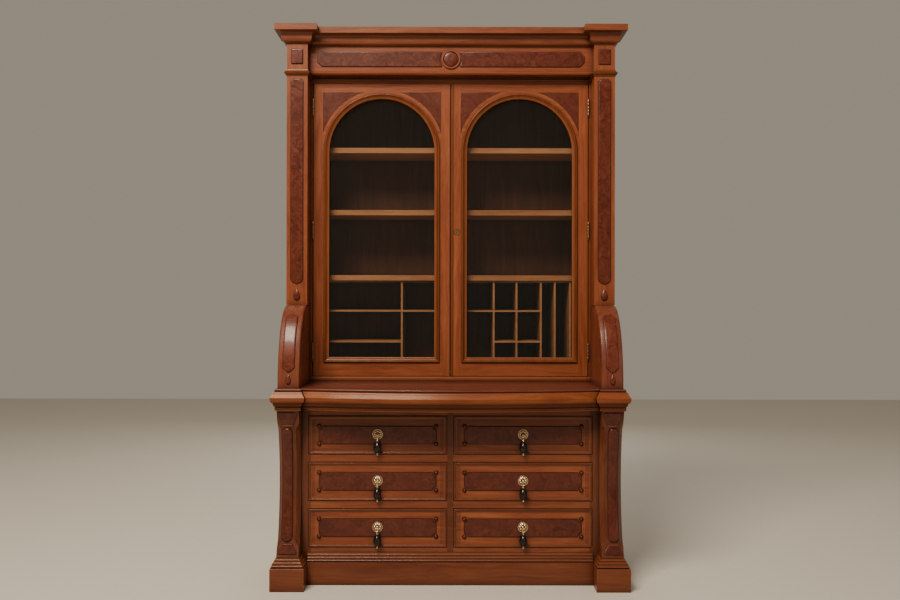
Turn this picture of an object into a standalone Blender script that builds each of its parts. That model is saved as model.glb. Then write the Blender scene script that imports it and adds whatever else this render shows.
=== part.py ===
"""Secretary desk with a glazed bookcase: base with six drawers, pull-out writing slide, bookcase with two arched doors.

Units are metres. +X is to the right, +Y to the back (the wall side) and +Z up.
The origin lies on the floor, at the centre of the box that the whole desk fills.
Depths are measured forward from the back plane: front(d) is the y of a plane d in front of it.
"""

import math

import bmesh
import bpy
from mathutils import Matrix

# ---------------------------------------------------------------- driving dimensions
DEPTH = 0.690  # back plane to the middle of the bowed waist moulding
BACK_Y = DEPTH / 2
GAP = 0.0003  # between pieces that touch
FIT = 0.002  # between a moving piece and its opening
RUN = 0.0005  # between a sliding piece and what it slides on

# Both cases
CASE_HALF = 0.715  # outer face of the side boards
SIDE_T = 0.022
CASE_IN = CASE_HALF - SIDE_T
BACK_T = 0.012
POST_OUT = 0.727  # outer face of the front posts

# Base
BLOCK_X = (0.608, 0.750)
BLOCK_D = 0.640
BLOCK_H = 0.0915
BLOCK_MOULD_TOP = 0.1395
BLOCK_MOULD_IN = 0.0245  # how far the block's moulding steps in at its top
PLINTH_H = 0.095
PLINTH_D = 0.548
PLINTH_MOULD_TOP = 0.136
BASE_FRAME_D = 0.530
BASE_FRAME_T = 0.022
BASE_FRAME_TOP = 0.7485
BASE_POST_IN = 0.630
BASE_POST_D = 0.612
BASE_POST_HOLLOW = 0.059
BASE_FLOOR_T = 0.014

# Drawers: three rows of two
ROW_BOTTOM = 0.156
ROW_PITCH = 0.198
ROW_HEIGHT = 0.168
ROW_NAMES = ("bottom", "middle", "top")
OPENING_IN = 0.0128
OPENING_OUT = 0.6075
DRAWER_FRONT_D = 0.527
DRAWER_FRONT_T = 0.0185
TRAY_BACK_D = 0.045
TRAY_H = 0.1315
TRAY_WALL = 0.012
TRAY_BOTTOM_T = 0.006
RUNNER_T = 0.012
PARTITION_HALF = 0.010
RUNNER_REACH = 0.022  # how far a runner reaches under its drawer

# Pulls
PLATE_R = 0.0235
PLATE_UP = 0.008  # plate's centre above the drawer's centre
PIVOT_UP = 0.001  # pivot pin above the drawer's centre
PIVOT_OUT = 0.022  # pivot pin in front of the drawer's face
PIN_R = 0.0018
EYE_HALF = 0.0019
FORK_SLOT = 0.0026  # half the slot between the fork's cheeks
FORK_HALF = 0.0052

# Waist
WAIST_BOTTOM = 0.750
WAIST_TOP = 0.8285
DESK_TOP = (0.829, 0.841)
CAP_X = (0.6225, 0.7355)
WAIST_SWELL = 0.0155  # how far the waist moulding swells beyond its fillet
CAP_D = BLOCK_D - WAIST_SWELL
BOW_MID_D = DEPTH - WAIST_SWELL
BOW_RISE = 0.073
BOW_HALF = CAP_X[0]
SLIDE_END = BOW_HALF - FIT
SLIDE_FRONT_T = 0.030
SLIDE_BOARD = (0.801, 0.8265)
SLIDE_BOARD_HALF = 0.600
SLIDE_BACK_D = 0.100
LEATHER_HALF = 0.500
LEATHER_D = (0.340, 0.560)
LEATHER_T = 0.0012

# Bookcase
UPPER_FRAME_D = 0.295
UPPER_POST_IN = 0.635
UPPER_POST_D = 0.390
BRACKET_TOP = 1.190
BRACKET_REACH = 0.207  # how far a bracket's foot stands in front of the post
FRIEZE = (2.2225, 2.3417)
FRIEZE_D = 0.340
CORNICE = (2.342, 2.424)
CORNICE_BREAK_D = 0.300
SHELF_T = 0.0235
SHELF_D = 0.245
SHELF_TOPS = {"shelf_top": 1.9107, "shelf_middle": 1.6255, "shelf_lower": 1.3265}
CLEAT = 0.013
UPPER_OPENING_HALF = 0.6258
UPPER_OPENING = (0.8665, 2.1935)

# Doors
DOOR_X = (0.0015, 0.6215)
DOOR_Z = (0.8690, 2.1917)
DOOR_T = 0.025
GLASS_X = (0.0735, 0.5505)
GLASS_BOTTOM = 0.953
ARCH_SPRING = 1.8868
REBATE = 0.0085
REBATE_DEPTH = 0.012
GLASS_T = 0.003
SPANDREL_TOP = 2.155
SPANDREL_MARGIN = 0.0295
SPANDREL_R = 0.280
SPANDREL_DEPTH = 0.004
HINGE_X = 0.6230
HINGE_OUT = 0.004  # hinge axis in front of the door's face
HINGE_R = 0.004
HINGE_H = 0.074
HINGE_MIDDLES = {"top": 2.0836, "middle": 1.5275, "bottom": 0.9784}
LOCK_X = 0.0278
LOCK_Z = 1.521
LOCK_R = 0.012

# Pigeonholes
PIGEON_D = 0.235
PIGEON_TOP = SHELF_TOPS["shelf_lower"] - SHELF_T - GAP
PIGEON_FLOOR = 0.872
DIVIDER = 0.008
PIGEON_ROWS = (1.0214, 1.163)
PIGEON_COLUMNS = (-0.224, 0.199, 0.304, 0.416, 0.480, 0.550, 0.616)

ARC_STEPS = 16
ROUND_STEPS = 16


def front(d):
    """The y of the plane that lies d in front of the back plane."""
    return BACK_Y - d


def row_bottom(row):
    return ROW_BOTTOM + row * ROW_PITCH


# ---------------------------------------------------------------- scene and materials
def clear_scene():
    for obj in list(bpy.data.objects):
        bpy.data.objects.remove(obj)


def new_collection(name):
    collection = bpy.data.collections.new(name)
    bpy.context.scene.collection.children.link(collection)
    return collection


def new_material(name, colour, roughness, metallic=0.0):
    material = bpy.data.materials.new(name)
    material.use_nodes = True
    shader = material.node_tree.nodes["Principled BSDF"]
    shader.inputs["Base Color"].default_value = (*colour, 1.0)
    shader.inputs["Roughness"].default_value = roughness
    shader.inputs["Metallic"].default_value = metallic
    return material


clear_scene()
PARTS = new_collection("secretary_desk")
CUTTERS = new_collection("cutters")
WALNUT = new_material("walnut", (0.26, 0.10, 0.045), 0.35)
BURL = new_material("burl_walnut", (0.14, 0.05, 0.03), 0.3)
PINE = new_material("drawer_pine", (0.52, 0.36, 0.20), 0.6)
GLASS = new_material("glass", (0.8, 0.85, 0.85), 0.05)
BRASS = new_material("brass", (0.70, 0.55, 0.30), 0.3, 1.0)
EBONY = new_material("ebonised_wood", (0.02, 0.02, 0.02), 0.2)
LEATHER = new_material("leather", (0.10, 0.04, 0.02), 0.5)


# ---------------------------------------------------------------- shape helpers
def keep(obj, material):
    """Puts a finished part in the desk's collection, with its material."""
    PARTS.objects.link(obj)
    obj.data.materials.append(material)
    return obj


def placed(name, mesh, parent=None):
    """A new part from a shared mesh, placed from its parent if it has one."""
    obj = bpy.data.objects.new(name, mesh)
    PARTS.objects.link(obj)
    obj.parent = parent
    return obj


def pivot(name, location, *parts):
    """An empty at a joint, which carries parts that are already in place."""
    empty = bpy.data.objects.new(name, None)
    empty.location = location
    PARTS.objects.link(empty)
    for part in parts:
        part.parent = empty
        part.matrix_parent_inverse = Matrix.Translation(location).inverted()


def hide(obj):
    """Marks a cutter or a joined piece as a helper."""
    CUTTERS.objects.link(obj)
    obj.hide_render = True
    obj.display_type = "WIRE"
    return obj


TURNS = {"XY": (0, 0, 0), "XZ": (math.pi / 2, 0, 0), "YZ": (math.pi / 2, 0, math.pi / 2)}


def plate(name, loops, plane, low, high):
    """A flat outline with holes, in a plane named for its two axes, filled from low to high across that plane."""
    curve = bpy.data.curves.new(name, "CURVE")
    curve.dimensions = "2D"
    curve.fill_mode = "BOTH"
    curve.extrude = (high - low) / 2
    for loop in loops:
        spline = curve.splines.new("POLY")
        spline.points.add(len(loop) - 1)
        for point, (u, v) in zip(spline.points, loop):
            point.co = (u, v, 0, 1)
        spline.use_cyclic_u = True
    obj = bpy.data.objects.new(name, curve)
    obj.rotation_euler = TURNS[plane]
    across = "XYZ".index({"XY": "Z", "XZ": "Y", "YZ": "X"}[plane])
    obj.location[across] = (low + high) / 2
    return obj


def solid(obj):
    """The object's evaluated shape as one welded mesh object; the first object is removed."""
    bpy.context.scene.collection.objects.link(obj)
    bpy.context.view_layer.update()
    graph = bpy.context.evaluated_depsgraph_get()
    mesh = bpy.data.meshes.new_from_object(obj.evaluated_get(graph))
    bm = bmesh.new()
    bm.from_mesh(mesh)
    bmesh.ops.remove_doubles(bm, verts=bm.verts, dist=1e-6)
    bm.to_mesh(mesh)
    bm.free()
    made = bpy.data.objects.new(obj.name, mesh)
    made.matrix_world = obj.matrix_world
    name = obj.name
    bpy.data.objects.remove(obj)
    made.name = name
    return made


def local_box(name, x, y, z):
    """A box between two x, two y and two z."""
    mesh = bpy.data.meshes.new(name)
    bm = bmesh.new()
    bmesh.ops.create_cube(bm, size=1.0)
    bmesh.ops.scale(bm, vec=(x[1] - x[0], y[1] - y[0], z[1] - z[0]), verts=bm.verts)
    bmesh.ops.translate(bm, vec=(sum(x) / 2, sum(y) / 2, sum(z) / 2), verts=bm.verts)
    bm.to_mesh(mesh)
    bm.free()
    return bpy.data.objects.new(name, mesh)


def box(name, x, d, z):
    """A box between two x, two depths and two heights of the desk."""
    return local_box(name, x, (front(d[1]), front(d[0])), z)


def local_cylinder(name, radius, half, middle):
    """A cylinder along x, from half before its middle to half beyond."""
    mesh = bpy.data.meshes.new(name)
    bm = bmesh.new()
    bmesh.ops.create_cone(bm, cap_ends=True, segments=12, radius1=radius, radius2=radius, depth=2 * half)
    bmesh.ops.rotate(bm, cent=(0, 0, 0), matrix=Matrix.Rotation(math.pi / 2, 3, "Y"), verts=bm.verts)
    bmesh.ops.translate(bm, vec=middle, verts=bm.verts)
    bm.to_mesh(mesh)
    bm.free()
    return bpy.data.objects.new(name, mesh)


def boolean(target, operation, *tools):
    """Cuts helpers out of a part, or joins them to it."""
    for tool in tools:
        modifier = target.modifiers.new(operation.lower(), "BOOLEAN")
        modifier.operation = operation
        modifier.object = hide(tool)
    return target


def loft(name, rings):
    """A solid through outlines of equal point count, each anticlockwise seen from above, from the lowest up."""
    mesh = bpy.data.meshes.new(name)
    bm = bmesh.new()
    levels = [[bm.verts.new(point) for point in ring] for ring in rings]
    count = len(levels[0])
    for lower, upper in zip(levels, levels[1:]):
        for i in range(count):
            j = (i + 1) % count
            bm.faces.new((lower[i], lower[j], upper[j], upper[i]))
    bm.faces.new(list(reversed(levels[0])))
    bm.faces.new(levels[-1])
    bm.to_mesh(mesh)
    bm.free()
    return bpy.data.objects.new(name, mesh)


def moved_outline(points, moves):
    """The outline with edge i, from point i to the next, moved outwards by moves[i] and its corners mitred."""
    count = len(points)
    lines = []
    for i in range(count):
        (x0, y0), (x1, y1) = points[i], points[(i + 1) % count]
        length = math.hypot(x1 - x0, y1 - y0)
        ux, uy = (x1 - x0) / length, (y1 - y0) / length
        lines.append((x0 + uy * moves[i], y0 - ux * moves[i], ux, uy))
    corners = []
    for i in range(count):
        ax, ay, aux, auy = lines[i - 1]
        bx, by, bux, buy = lines[i]
        t = ((bx - ax) * buy - (by - ay) * bux) / (aux * buy - auy * bux)
        corners.append((ax + aux * t, ay + auy * t))
    return corners


def moulded(name, points, moving, profile):
    """An outline lofted through a moulding profile of (height, offset); moving marks the edges that follow it."""
    rings = []
    for z, offset in profile:
        outline = moved_outline(points, [offset * on for on in moving])
        rings.append([(x, y, z) for x, y in outline])
    return loft(name, rings)


def turned(name, profile, steps=ROUND_STEPS):
    """A shape turned about its own z axis from a profile of (radius, height), top to bottom."""
    mesh = bpy.data.meshes.new(name)
    points = [(radius, 0, z) for radius, z in profile]
    mesh.from_pydata(points, [(i, i + 1) for i in range(len(points) - 1)], [])
    obj = bpy.data.objects.new(name, mesh)
    screw = obj.modifiers.new("turn", "SCREW")
    screw.steps = screw.render_steps = steps
    screw.use_merge_vertices = True
    screw.merge_threshold = 0.00001
    return obj


def arc(middle, radius, start, end, steps):
    """Points along an arc, with angles in degrees from the first axis."""
    points = []
    for i in range(steps + 1):
        angle = math.radians(start + (end - start) * i / steps)
        points.append((middle[0] + radius * math.cos(angle), middle[1] + radius * math.sin(angle)))
    return points


def rectangle(x, z):
    return [(x[0], z[0]), (x[1], z[0]), (x[1], z[1]), (x[0], z[1])]


def mirrored(points, side):
    """The points as they are for side 1, and mirrored in x with their order reversed for side -1."""
    return points if side > 0 else [(-p[0], *p[1:]) for p in reversed(points)]


def span(side, low, high):
    """An x range on the right for side 1 and on the left for side -1."""
    return (low, high) if side > 0 else (-high, -low)


def mirrored_edges(marks, side):
    """One mark for each edge of an outline, in the order that its mirrored outline has them."""
    return marks if side > 0 else [*reversed(marks[:-1]), marks[-1]]


SIDES = {"left": -1, "right": 1}


# ---------------------------------------------------------------- base
def make_base_sides():
    """Each side board carries its drawer runners, guides and the slide's support, all running front to back."""
    runner_in = OPENING_OUT - RUNNER_REACH
    guide_in = OPENING_OUT - 0.001
    steps = []
    for row in range(3):
        seat = row_bottom(row)
        if row:
            steps += [(CASE_IN, seat - RUNNER_T), (runner_in, seat - RUNNER_T), (runner_in, seat), (CASE_IN, seat)]
        steps += [(CASE_IN, seat + 0.020), (guide_in, seat + 0.020), (guide_in, seat + 0.034), (CASE_IN, seat + 0.034)]
    seat = SLIDE_BOARD[0] - RUN
    keeper = SLIDE_BOARD_HALF + FIT
    steps += [(CASE_IN, seat - 0.015), (runner_in, seat - 0.015), (runner_in, seat), (keeper, seat)]
    outline = [(CASE_HALF, 0), (CASE_HALF, WAIST_TOP), (keeper, WAIST_TOP), *reversed(steps), (CASE_IN, 0)]
    for name, side in SIDES.items():
        depth = (front(BASE_FRAME_D - BASE_FRAME_T - GAP), front(BACK_T + GAP))
        keep(plate(f"base_side_{name}", [mirrored(outline, side)], "XZ", *depth), WALNUT)


def make_base_carcass():
    between = (BACK_T + GAP, BASE_FRAME_D - BASE_FRAME_T - GAP)
    keep(box("base_back_panel", (-CASE_HALF, CASE_HALF), (0, BACK_T), (0, WAIST_TOP)), PINE)
    floor = (ROW_BOTTOM - BASE_FLOOR_T, ROW_BOTTOM)
    keep(box("base_floor_board", (GAP - CASE_IN, CASE_IN - GAP), between, floor), PINE)
    half, runner = PARTITION_HALF, OPENING_IN + RUNNER_REACH
    outline = [(half, floor[1] + GAP)]
    for row in (1, 2):
        seat = row_bottom(row)
        outline += [(half, seat - RUNNER_T), (runner, seat - RUNNER_T), (runner, seat), (half, seat)]
    outline.append((half, SLIDE_BOARD[0] - RUN))
    outline += mirrored(outline, -1)
    depth = (front(between[1]), front(between[0]))
    keep(plate("base_partition", [outline], "XZ", *depth), PINE)


def make_face_frame():
    openings = []
    for row in range(3):
        z = (row_bottom(row), row_bottom(row) + ROW_HEIGHT)
        for side in SIDES.values():
            openings.append(rectangle(span(side, OPENING_IN, OPENING_OUT), z))
    outer = rectangle((-CASE_HALF, CASE_HALF), (0, BASE_FRAME_TOP))
    depth = (front(BASE_FRAME_D), front(BASE_FRAME_D - BASE_FRAME_T))
    keep(plate("base_face_frame", [outer, *openings], "XZ", *depth), WALNUT)


def make_plinth():
    """A skirting board between two corner blocks, each with its moulding on top."""
    back = front(BASE_FRAME_D + GAP)
    outline = [
        (back, 0),
        (back, PLINTH_MOULD_TOP),
        (front(PLINTH_D - 0.013), PLINTH_MOULD_TOP),
        (front(PLINTH_D - 0.012), 0.124),
        (front(PLINTH_D - 0.008), 0.122),
        (front(PLINTH_D - 0.007), 0.112),
        (front(PLINTH_D - 0.003), 0.110),
        (front(PLINTH_D - 0.001), 0.099),
        (front(PLINTH_D - 0.004), PLINTH_H + 0.002),
        (front(PLINTH_D), PLINTH_H),
        (front(PLINTH_D), 0),
    ]
    half = BLOCK_X[0] - GAP
    keep(plate("plinth_board", [outline], "YZ", -half, half), WALNUT)
    profile = (
        (0, 0),
        (BLOCK_H, 0),
        (BLOCK_H + 0.002, -0.004),
        (0.106, -0.005),
        (0.110, -0.012),
        (0.121, -0.015),
        (0.124, -0.020),
        (BLOCK_MOULD_TOP, -BLOCK_MOULD_IN),
    )
    low, high = BLOCK_X
    outline = [(low, front(BLOCK_D)), (high, front(BLOCK_D)), (high, back), (low, back)]
    moving = (1, 1, 0, 1)
    for name, side in SIDES.items():
        shape = moulded(f"plinth_block_{name}", mirrored(outline, side), mirrored_edges(moving, side), profile)
        keep(shape, WALNUT)


def make_base_posts():
    """Corner posts with a hollow front: full depth at their ends and shallow at mid height."""
    low, high = BLOCK_MOULD_TOP + GAP, WAIST_BOTTOM - GAP
    middle, half = (low + high) / 2, (high - low) / 2
    outline = []
    for i in range(ARC_STEPS + 1):
        z = high - (high - low) * i / ARC_STEPS
        hollow = BASE_POST_HOLLOW * (1 - ((z - middle) / half) ** 2)
        outline.append((front(BASE_POST_D - hollow), z))
    outline += [(front(BASE_FRAME_D + GAP), low), (front(BASE_FRAME_D + GAP), high)]
    for name, side in SIDES.items():
        keep(plate(f"base_post_{name}", [outline], "YZ", *span(side, BASE_POST_IN, POST_OUT)), WALNUT)


# ---------------------------------------------------------------- drawers and pulls
def drawer_mesh():
    """One drawer about the middle of its opening: a front board and a tray, open at the top."""
    half = (OPENING_OUT - OPENING_IN) / 2 - FIT
    face_half = ROW_HEIGHT / 2 - FIT
    back_of_front = DRAWER_FRONT_D - DRAWER_FRONT_T
    bottom = RUN - ROW_HEIGHT / 2
    top = bottom + TRAY_H
    tray_half = half - 0.0015
    board = box("drawer", (-half, half), (back_of_front, DRAWER_FRONT_D), (-face_half, face_half))
    tray = box("tray", (-tray_half, tray_half), (TRAY_BACK_D, back_of_front + 0.006), (bottom, top))
    inside_half = tray_half - TRAY_WALL
    inside_d = (TRAY_BACK_D + TRAY_WALL, back_of_front - 0.001)
    inside = box("inside", (-inside_half, inside_half), inside_d, (bottom + TRAY_BOTTOM_T, face_half + 0.05))
    boolean(board, "UNION", tray)
    boolean(board, "DIFFERENCE", inside)
    return solid(board).data


def pull_plate_mesh():
    """A round stepped plate with a fork and its cross pin. Local z points out of the drawer, the pin along x."""
    profile = (
        (0, 0.0070),
        (0.0085, 0.0062),
        (0.0110, 0.0032),
        (0.0190, 0.0032),
        (0.0215, 0.0044),
        (PLATE_R, 0.0020),
        (PLATE_R, 0),
        (0, 0),
    )
    body = solid(turned("plate", profile))
    drop = PIVOT_UP - PLATE_UP
    reach = PIVOT_OUT - GAP
    cheeks = local_box("cheeks", (-FORK_HALF, FORK_HALF), (drop - 0.0034, drop + 0.0042), (0.002, reach + 0.0034))
    slot = local_box("slot", (-FORK_SLOT, FORK_SLOT), (drop - 0.010, drop + 0.010), (0.014, reach + 0.010))
    pin = local_cylinder("pin", PIN_R, FORK_HALF - 0.0005, (0, drop, reach))
    boolean(cheeks, "DIFFERENCE", slot)
    boolean(body, "UNION", solid(cheeks), pin)
    return solid(body).data


def pull_drop_mesh():
    """A turned drop hanging from an eye on the pin, which is its origin. Local z is up."""
    profile = (
        (0, -0.0025),
        (0.0022, -0.0030),
        (0.0024, -0.0120),
        (0.0042, -0.0200),
        (0.0030, -0.0240),
        (0.0052, -0.0280),
        (0.0085, -0.0330),
        (0.0145, -0.0440),
        (0.0160, -0.0525),
        (0.0135, -0.0620),
        (0.0065, -0.0710),
        (0.0040, -0.0740),
        (0.0048, -0.0790),
        (0.0026, -0.0840),
        (0, -0.0865),
    )
    drop = solid(turned("drop", profile, 14))
    eye = local_cylinder("eye", 0.0046, EYE_HALF, (0, 0, 0))
    bore = local_cylinder("bore", PIN_R + 0.0004, EYE_HALF + 0.004, (0, 0, 0))
    boolean(drop, "UNION", eye)
    boolean(drop, "DIFFERENCE", bore)
    return solid(drop).data


def make_drawers():
    """Six drawers that share three meshes: the drawer, its pull's plate and its drop."""
    drawer, pull_plate, drop = drawer_mesh(), pull_plate_mesh(), pull_drop_mesh()
    drawer.materials.append(WALNUT)
    pull_plate.materials.append(BRASS)
    drop.materials.append(EBONY)
    face = front(DRAWER_FRONT_D)
    for row, row_name in enumerate(ROW_NAMES):
        for side_name, side in SIDES.items():
            place = f"{side_name}_{row_name}"
            body = placed(f"drawer_{place}", drawer)
            body.location = (side * (OPENING_IN + OPENING_OUT) / 2, 0, row_bottom(row) + ROW_HEIGHT / 2)
            fixed = placed(f"pull_plate_{place}", pull_plate, body)
            fixed.location = (0, face - GAP, PLATE_UP)
            fixed.rotation_euler = (math.pi / 2, 0, 0)
            swinging = placed(f"pull_drop_{place}", drop, body)
            swinging.location = (0, face - PIVOT_OUT, PIVOT_UP)


# ---------------------------------------------------------------- waist and writing slide
def bow_d(x):
    """Depth of the bowed fillet line at x."""
    radius = (BOW_HALF**2 + BOW_RISE**2) / (2 * BOW_RISE)
    return BOW_MID_D - (radius - math.sqrt(radius**2 - x**2))


def bowed_line(half, offset, steps=24):
    """The bow from left to right at an offset in front of the fillet line."""
    xs = [-half + 2 * half * i / steps for i in range(steps + 1)]
    return [(x, front(bow_d(x) + offset)) for x in xs]


WAIST_PROFILE = (
    (WAIST_BOTTOM, 0),
    (0.760, 0),
    (0.762, -0.003),
    (0.772, 0.006),
    (0.786, WAIST_SWELL),
    (0.799, WAIST_SWELL),
    (WAIST_TOP, 0.001),
)


def make_waist():
    """Corner caps that return along the sides, and the thin desk top over them."""
    side_face = CASE_HALF + GAP
    post_back = BASE_FRAME_D + GAP
    cap_in, cap_out = CAP_X
    outline = [
        (cap_in, front(CAP_D)),
        (cap_out, front(CAP_D)),
        (cap_out, front(0)),
        (side_face, front(0)),
        (side_face, front(post_back)),
        (cap_in, front(post_back)),
    ]
    moving = (1, 1, 0, 0, 0, 1)
    for name, side in SIDES.items():
        cap = moulded(f"waist_cap_{name}", mirrored(outline, side), mirrored_edges(moving, side), WAIST_PROFILE)
        keep(cap, WALNUT)
    corner = outline[:3]
    outline = [*bowed_line(BOW_HALF, 0), *corner, *mirrored(corner, -1)]
    keep(plate("desk_top", [outline], "XY", *DESK_TOP), WALNUT)


def make_writing_slide():
    """The moulded bowed front, the board behind it and the leather let into the board."""
    rings = []
    for z, offset in WAIST_PROFILE:
        half = SLIDE_END - offset
        line = bowed_line(half, offset) + list(reversed(bowed_line(half, -SLIDE_FRONT_T)))
        rings.append([(x, y, z) for x, y in line])
    moulding = keep(loft("writing_slide_front", rings), WALNUT)
    back = front(SLIDE_BACK_D)
    outline = bowed_line(SLIDE_BOARD_HALF, -SLIDE_FRONT_T - GAP)
    outline += [(SLIDE_BOARD_HALF, back), (-SLIDE_BOARD_HALF, back)]
    board = solid(plate("writing_slide_board", [outline], "XY", *SLIDE_BOARD))
    bed = SLIDE_BOARD[1] - LEATHER_T - GAP
    pocket_x = (-LEATHER_HALF - GAP, LEATHER_HALF + GAP)
    pocket_d = (LEATHER_D[0] - GAP, LEATHER_D[1] + GAP)
    boolean(board, "DIFFERENCE", box("leather_pocket", pocket_x, pocket_d, (bed, SLIDE_BOARD[1] + 0.01)))
    keep(board, WALNUT)
    leather_x = (-LEATHER_HALF, LEATHER_HALF)
    leather = keep(box("writing_leather", leather_x, LEATHER_D, (bed + GAP, SLIDE_BOARD[1])), LEATHER)
    pivot("writing_slide_joint", (0, front(BOW_MID_D), SLIDE_BOARD[0]), moulding, board, leather)


# ---------------------------------------------------------------- bookcase
def make_upper_sides():
    """Each side board has cleats under the two upper shelves, running front to back."""
    low, high = DESK_TOP[1] + GAP, CORNICE[0] - GAP
    inner = [(CASE_IN, low)]
    for name in ("shelf_middle", "shelf_top"):
        seat = SHELF_TOPS[name] - SHELF_T - GAP
        inner += [(CASE_IN, seat - CLEAT), (CASE_IN - CLEAT, seat - CLEAT), (CASE_IN - CLEAT, seat), (CASE_IN, seat)]
    inner.append((CASE_IN, high))
    outline = [(CASE_HALF, low), (CASE_HALF, high), *reversed(inner)]
    depth = (front(UPPER_FRAME_D - DOOR_T - GAP), front(BACK_T + GAP))
    for name, side in SIDES.items():
        keep(plate(f"upper_side_{name}", [mirrored(outline, side)], "XZ", *depth), WALNUT)


def make_upper_carcass():
    z = (DESK_TOP[1] + GAP, CORNICE[0] - GAP)
    keep(box("upper_back_panel", (-CASE_HALF, CASE_HALF), (0, BACK_T), z), PINE)
    outer = rectangle((-CASE_HALF, CASE_HALF), z)
    opening = rectangle((-UPPER_OPENING_HALF, UPPER_OPENING_HALF), UPPER_OPENING)
    depth = (front(UPPER_FRAME_D), front(UPPER_FRAME_D - DOOR_T))
    keep(plate("upper_face_frame", [outer, opening], "XZ", *depth), WALNUT)
    half = CASE_IN - GAP
    for name, top in SHELF_TOPS.items():
        keep(box(name, (-half, half), (BACK_T + GAP, SHELF_D), (top - SHELF_T, top)), WALNUT)


def make_posts_and_brackets():
    """Front posts over brackets whose faces sweep forward in a quarter ellipse."""
    low, high = DESK_TOP[1] + GAP, BRACKET_TOP - GAP
    back = UPPER_FRAME_D + GAP
    outline = [(front(back), high), (front(back), low)]
    for i in range(ARC_STEPS + 1):
        angle = math.pi / 2 * i / ARC_STEPS
        d = UPPER_POST_D + BRACKET_REACH * math.cos(angle)
        outline.append((front(d), low + (high - low) * math.sin(angle)))
    for name, side in SIDES.items():
        x = span(side, UPPER_POST_IN, POST_OUT)
        keep(plate(f"scroll_bracket_{name}", [outline], "YZ", *x), WALNUT)
        keep(box(f"upper_post_{name}", x, (back, UPPER_POST_D), (BRACKET_TOP, CORNICE[0] - GAP)), WALNUT)


def make_frieze():
    """Board under the cornice and between the posts, with a small moulding along its foot."""
    foot, swell = FRIEZE[0], 0.010
    outline = [
        (front(UPPER_FRAME_D + GAP), foot),
        (front(FRIEZE_D + swell / 2), foot),
        (front(FRIEZE_D + swell), foot + 0.006),
        (front(FRIEZE_D), foot + 0.016),
        (front(FRIEZE_D), FRIEZE[1]),
        (front(UPPER_FRAME_D + GAP), FRIEZE[1]),
    ]
    half = UPPER_POST_IN - GAP
    keep(plate("frieze", [outline], "YZ", -half, half), WALNUT)


def make_cornice():
    """Crown moulding that breaks forward over the posts, hollow below its top board."""
    right = [
        (UPPER_POST_IN, front(FRIEZE_D)),
        (UPPER_POST_IN, front(UPPER_POST_D)),
        (POST_OUT, front(UPPER_POST_D)),
        (POST_OUT, front(CORNICE_BREAK_D)),
        (CASE_HALF, front(CORNICE_BREAK_D)),
        (CASE_HALF, front(0)),
    ]
    outline = [*right, *mirrored(right, -1)]
    moving = [1, 1, 1, 1, 1, 0, 1, 1, 1, 1, 1, 1]
    profile = (
        (CORNICE[0], 0),
        (2.348, 0.012),
        (2.358, 0.020),
        (2.3755, 0.026),
        (2.390, 0.034),
        (2.397, 0.045),
        (2.3975, 0.048),
        (CORNICE[1], 0.048),
    )
    cornice = moulded("cornice", outline, moving, profile)
    hollow_z = (CORNICE[0] - 0.02, CORNICE[1] - 0.015)
    hollow = box("cornice_hollow", (-0.600, 0.600), (0.030, UPPER_FRAME_D - DOOR_T - 0.005), hollow_z)
    keep(boolean(cornice, "DIFFERENCE", hollow), WALNUT)


def make_pigeonholes():
    """One unit of thin dividers: letter trays on the left, a middle bay, small holes and upright slots."""
    half = CASE_IN - GAP
    inner, thin = half - DIVIDER, DIVIDER / 2
    top = PIGEON_TOP - DIVIDER
    low_row, high_row = PIGEON_ROWS
    levels = [(PIGEON_FLOOR, low_row - thin), (low_row + thin, high_row - thin), (high_row + thin, top)]
    edges = [-inner - thin, *PIGEON_COLUMNS, inner + thin]
    columns = [(a + thin, b - thin) for a, b in zip(edges, edges[1:])]
    cells = [(columns[0], level) for level in levels]
    cells += [(columns[1], (PIGEON_FLOOR, high_row - thin)), (columns[1], levels[2])]
    cells += [(column, level) for column in columns[2:4] for level in levels]
    cells += [(column, (PIGEON_FLOOR, top)) for column in columns[4:]]
    outer = rectangle((-half, half), (DESK_TOP[1] + GAP, PIGEON_TOP))
    loops = [outer, *(rectangle(x, z) for x, z in cells)]
    keep(plate("pigeonholes", loops, "XZ", front(PIGEON_D), front(BACK_T + GAP)), WALNUT)


# ---------------------------------------------------------------- doors
def arch_outline(grow):
    """The glass opening's outline for the right door, grown outwards by a margin."""
    left, right = GLASS_X
    middle, radius = (left + right) / 2, (right - left) / 2 + grow
    top = arc((middle, ARCH_SPRING), radius, 0, 180, 24)
    return [(left - grow, GLASS_BOTTOM - grow), (right + grow, GLASS_BOTTOM - grow), *top]


def spandrel_outlines():
    """The two corner fields above the arch, for the right door."""
    left, right = GLASS_X[0] - SPANDREL_MARGIN, GLASS_X[1] + SPANDREL_MARGIN
    middle = sum(GLASS_X) / 2
    side_angle = math.degrees(math.acos((right - middle) / SPANDREL_R))
    top_angle = math.degrees(math.asin((SPANDREL_TOP - ARCH_SPRING) / SPANDREL_R))
    curve = arc((middle, ARCH_SPRING), SPANDREL_R, side_angle, top_angle, 8)
    outer = [(right, SPANDREL_TOP), *reversed(curve)]
    return [outer, [(left + right - x, z) for x, z in reversed(outer)]]


def make_lock():
    """The round keyhole plate on the inner stile of the right door."""
    profile = ((0, 0.0035), (0.0045, 0.0035), (0.0075, 0.0022), (0.0105, 0.0030), (LOCK_R, 0.0010), (LOCK_R, 0), (0, 0))
    lock = turned("lock_escutcheon", profile)
    lock.location = (LOCK_X, front(UPPER_FRAME_D + GAP), LOCK_Z)
    lock.rotation_euler = (math.pi / 2, 0, 0)
    return keep(lock, EBONY)


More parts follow.
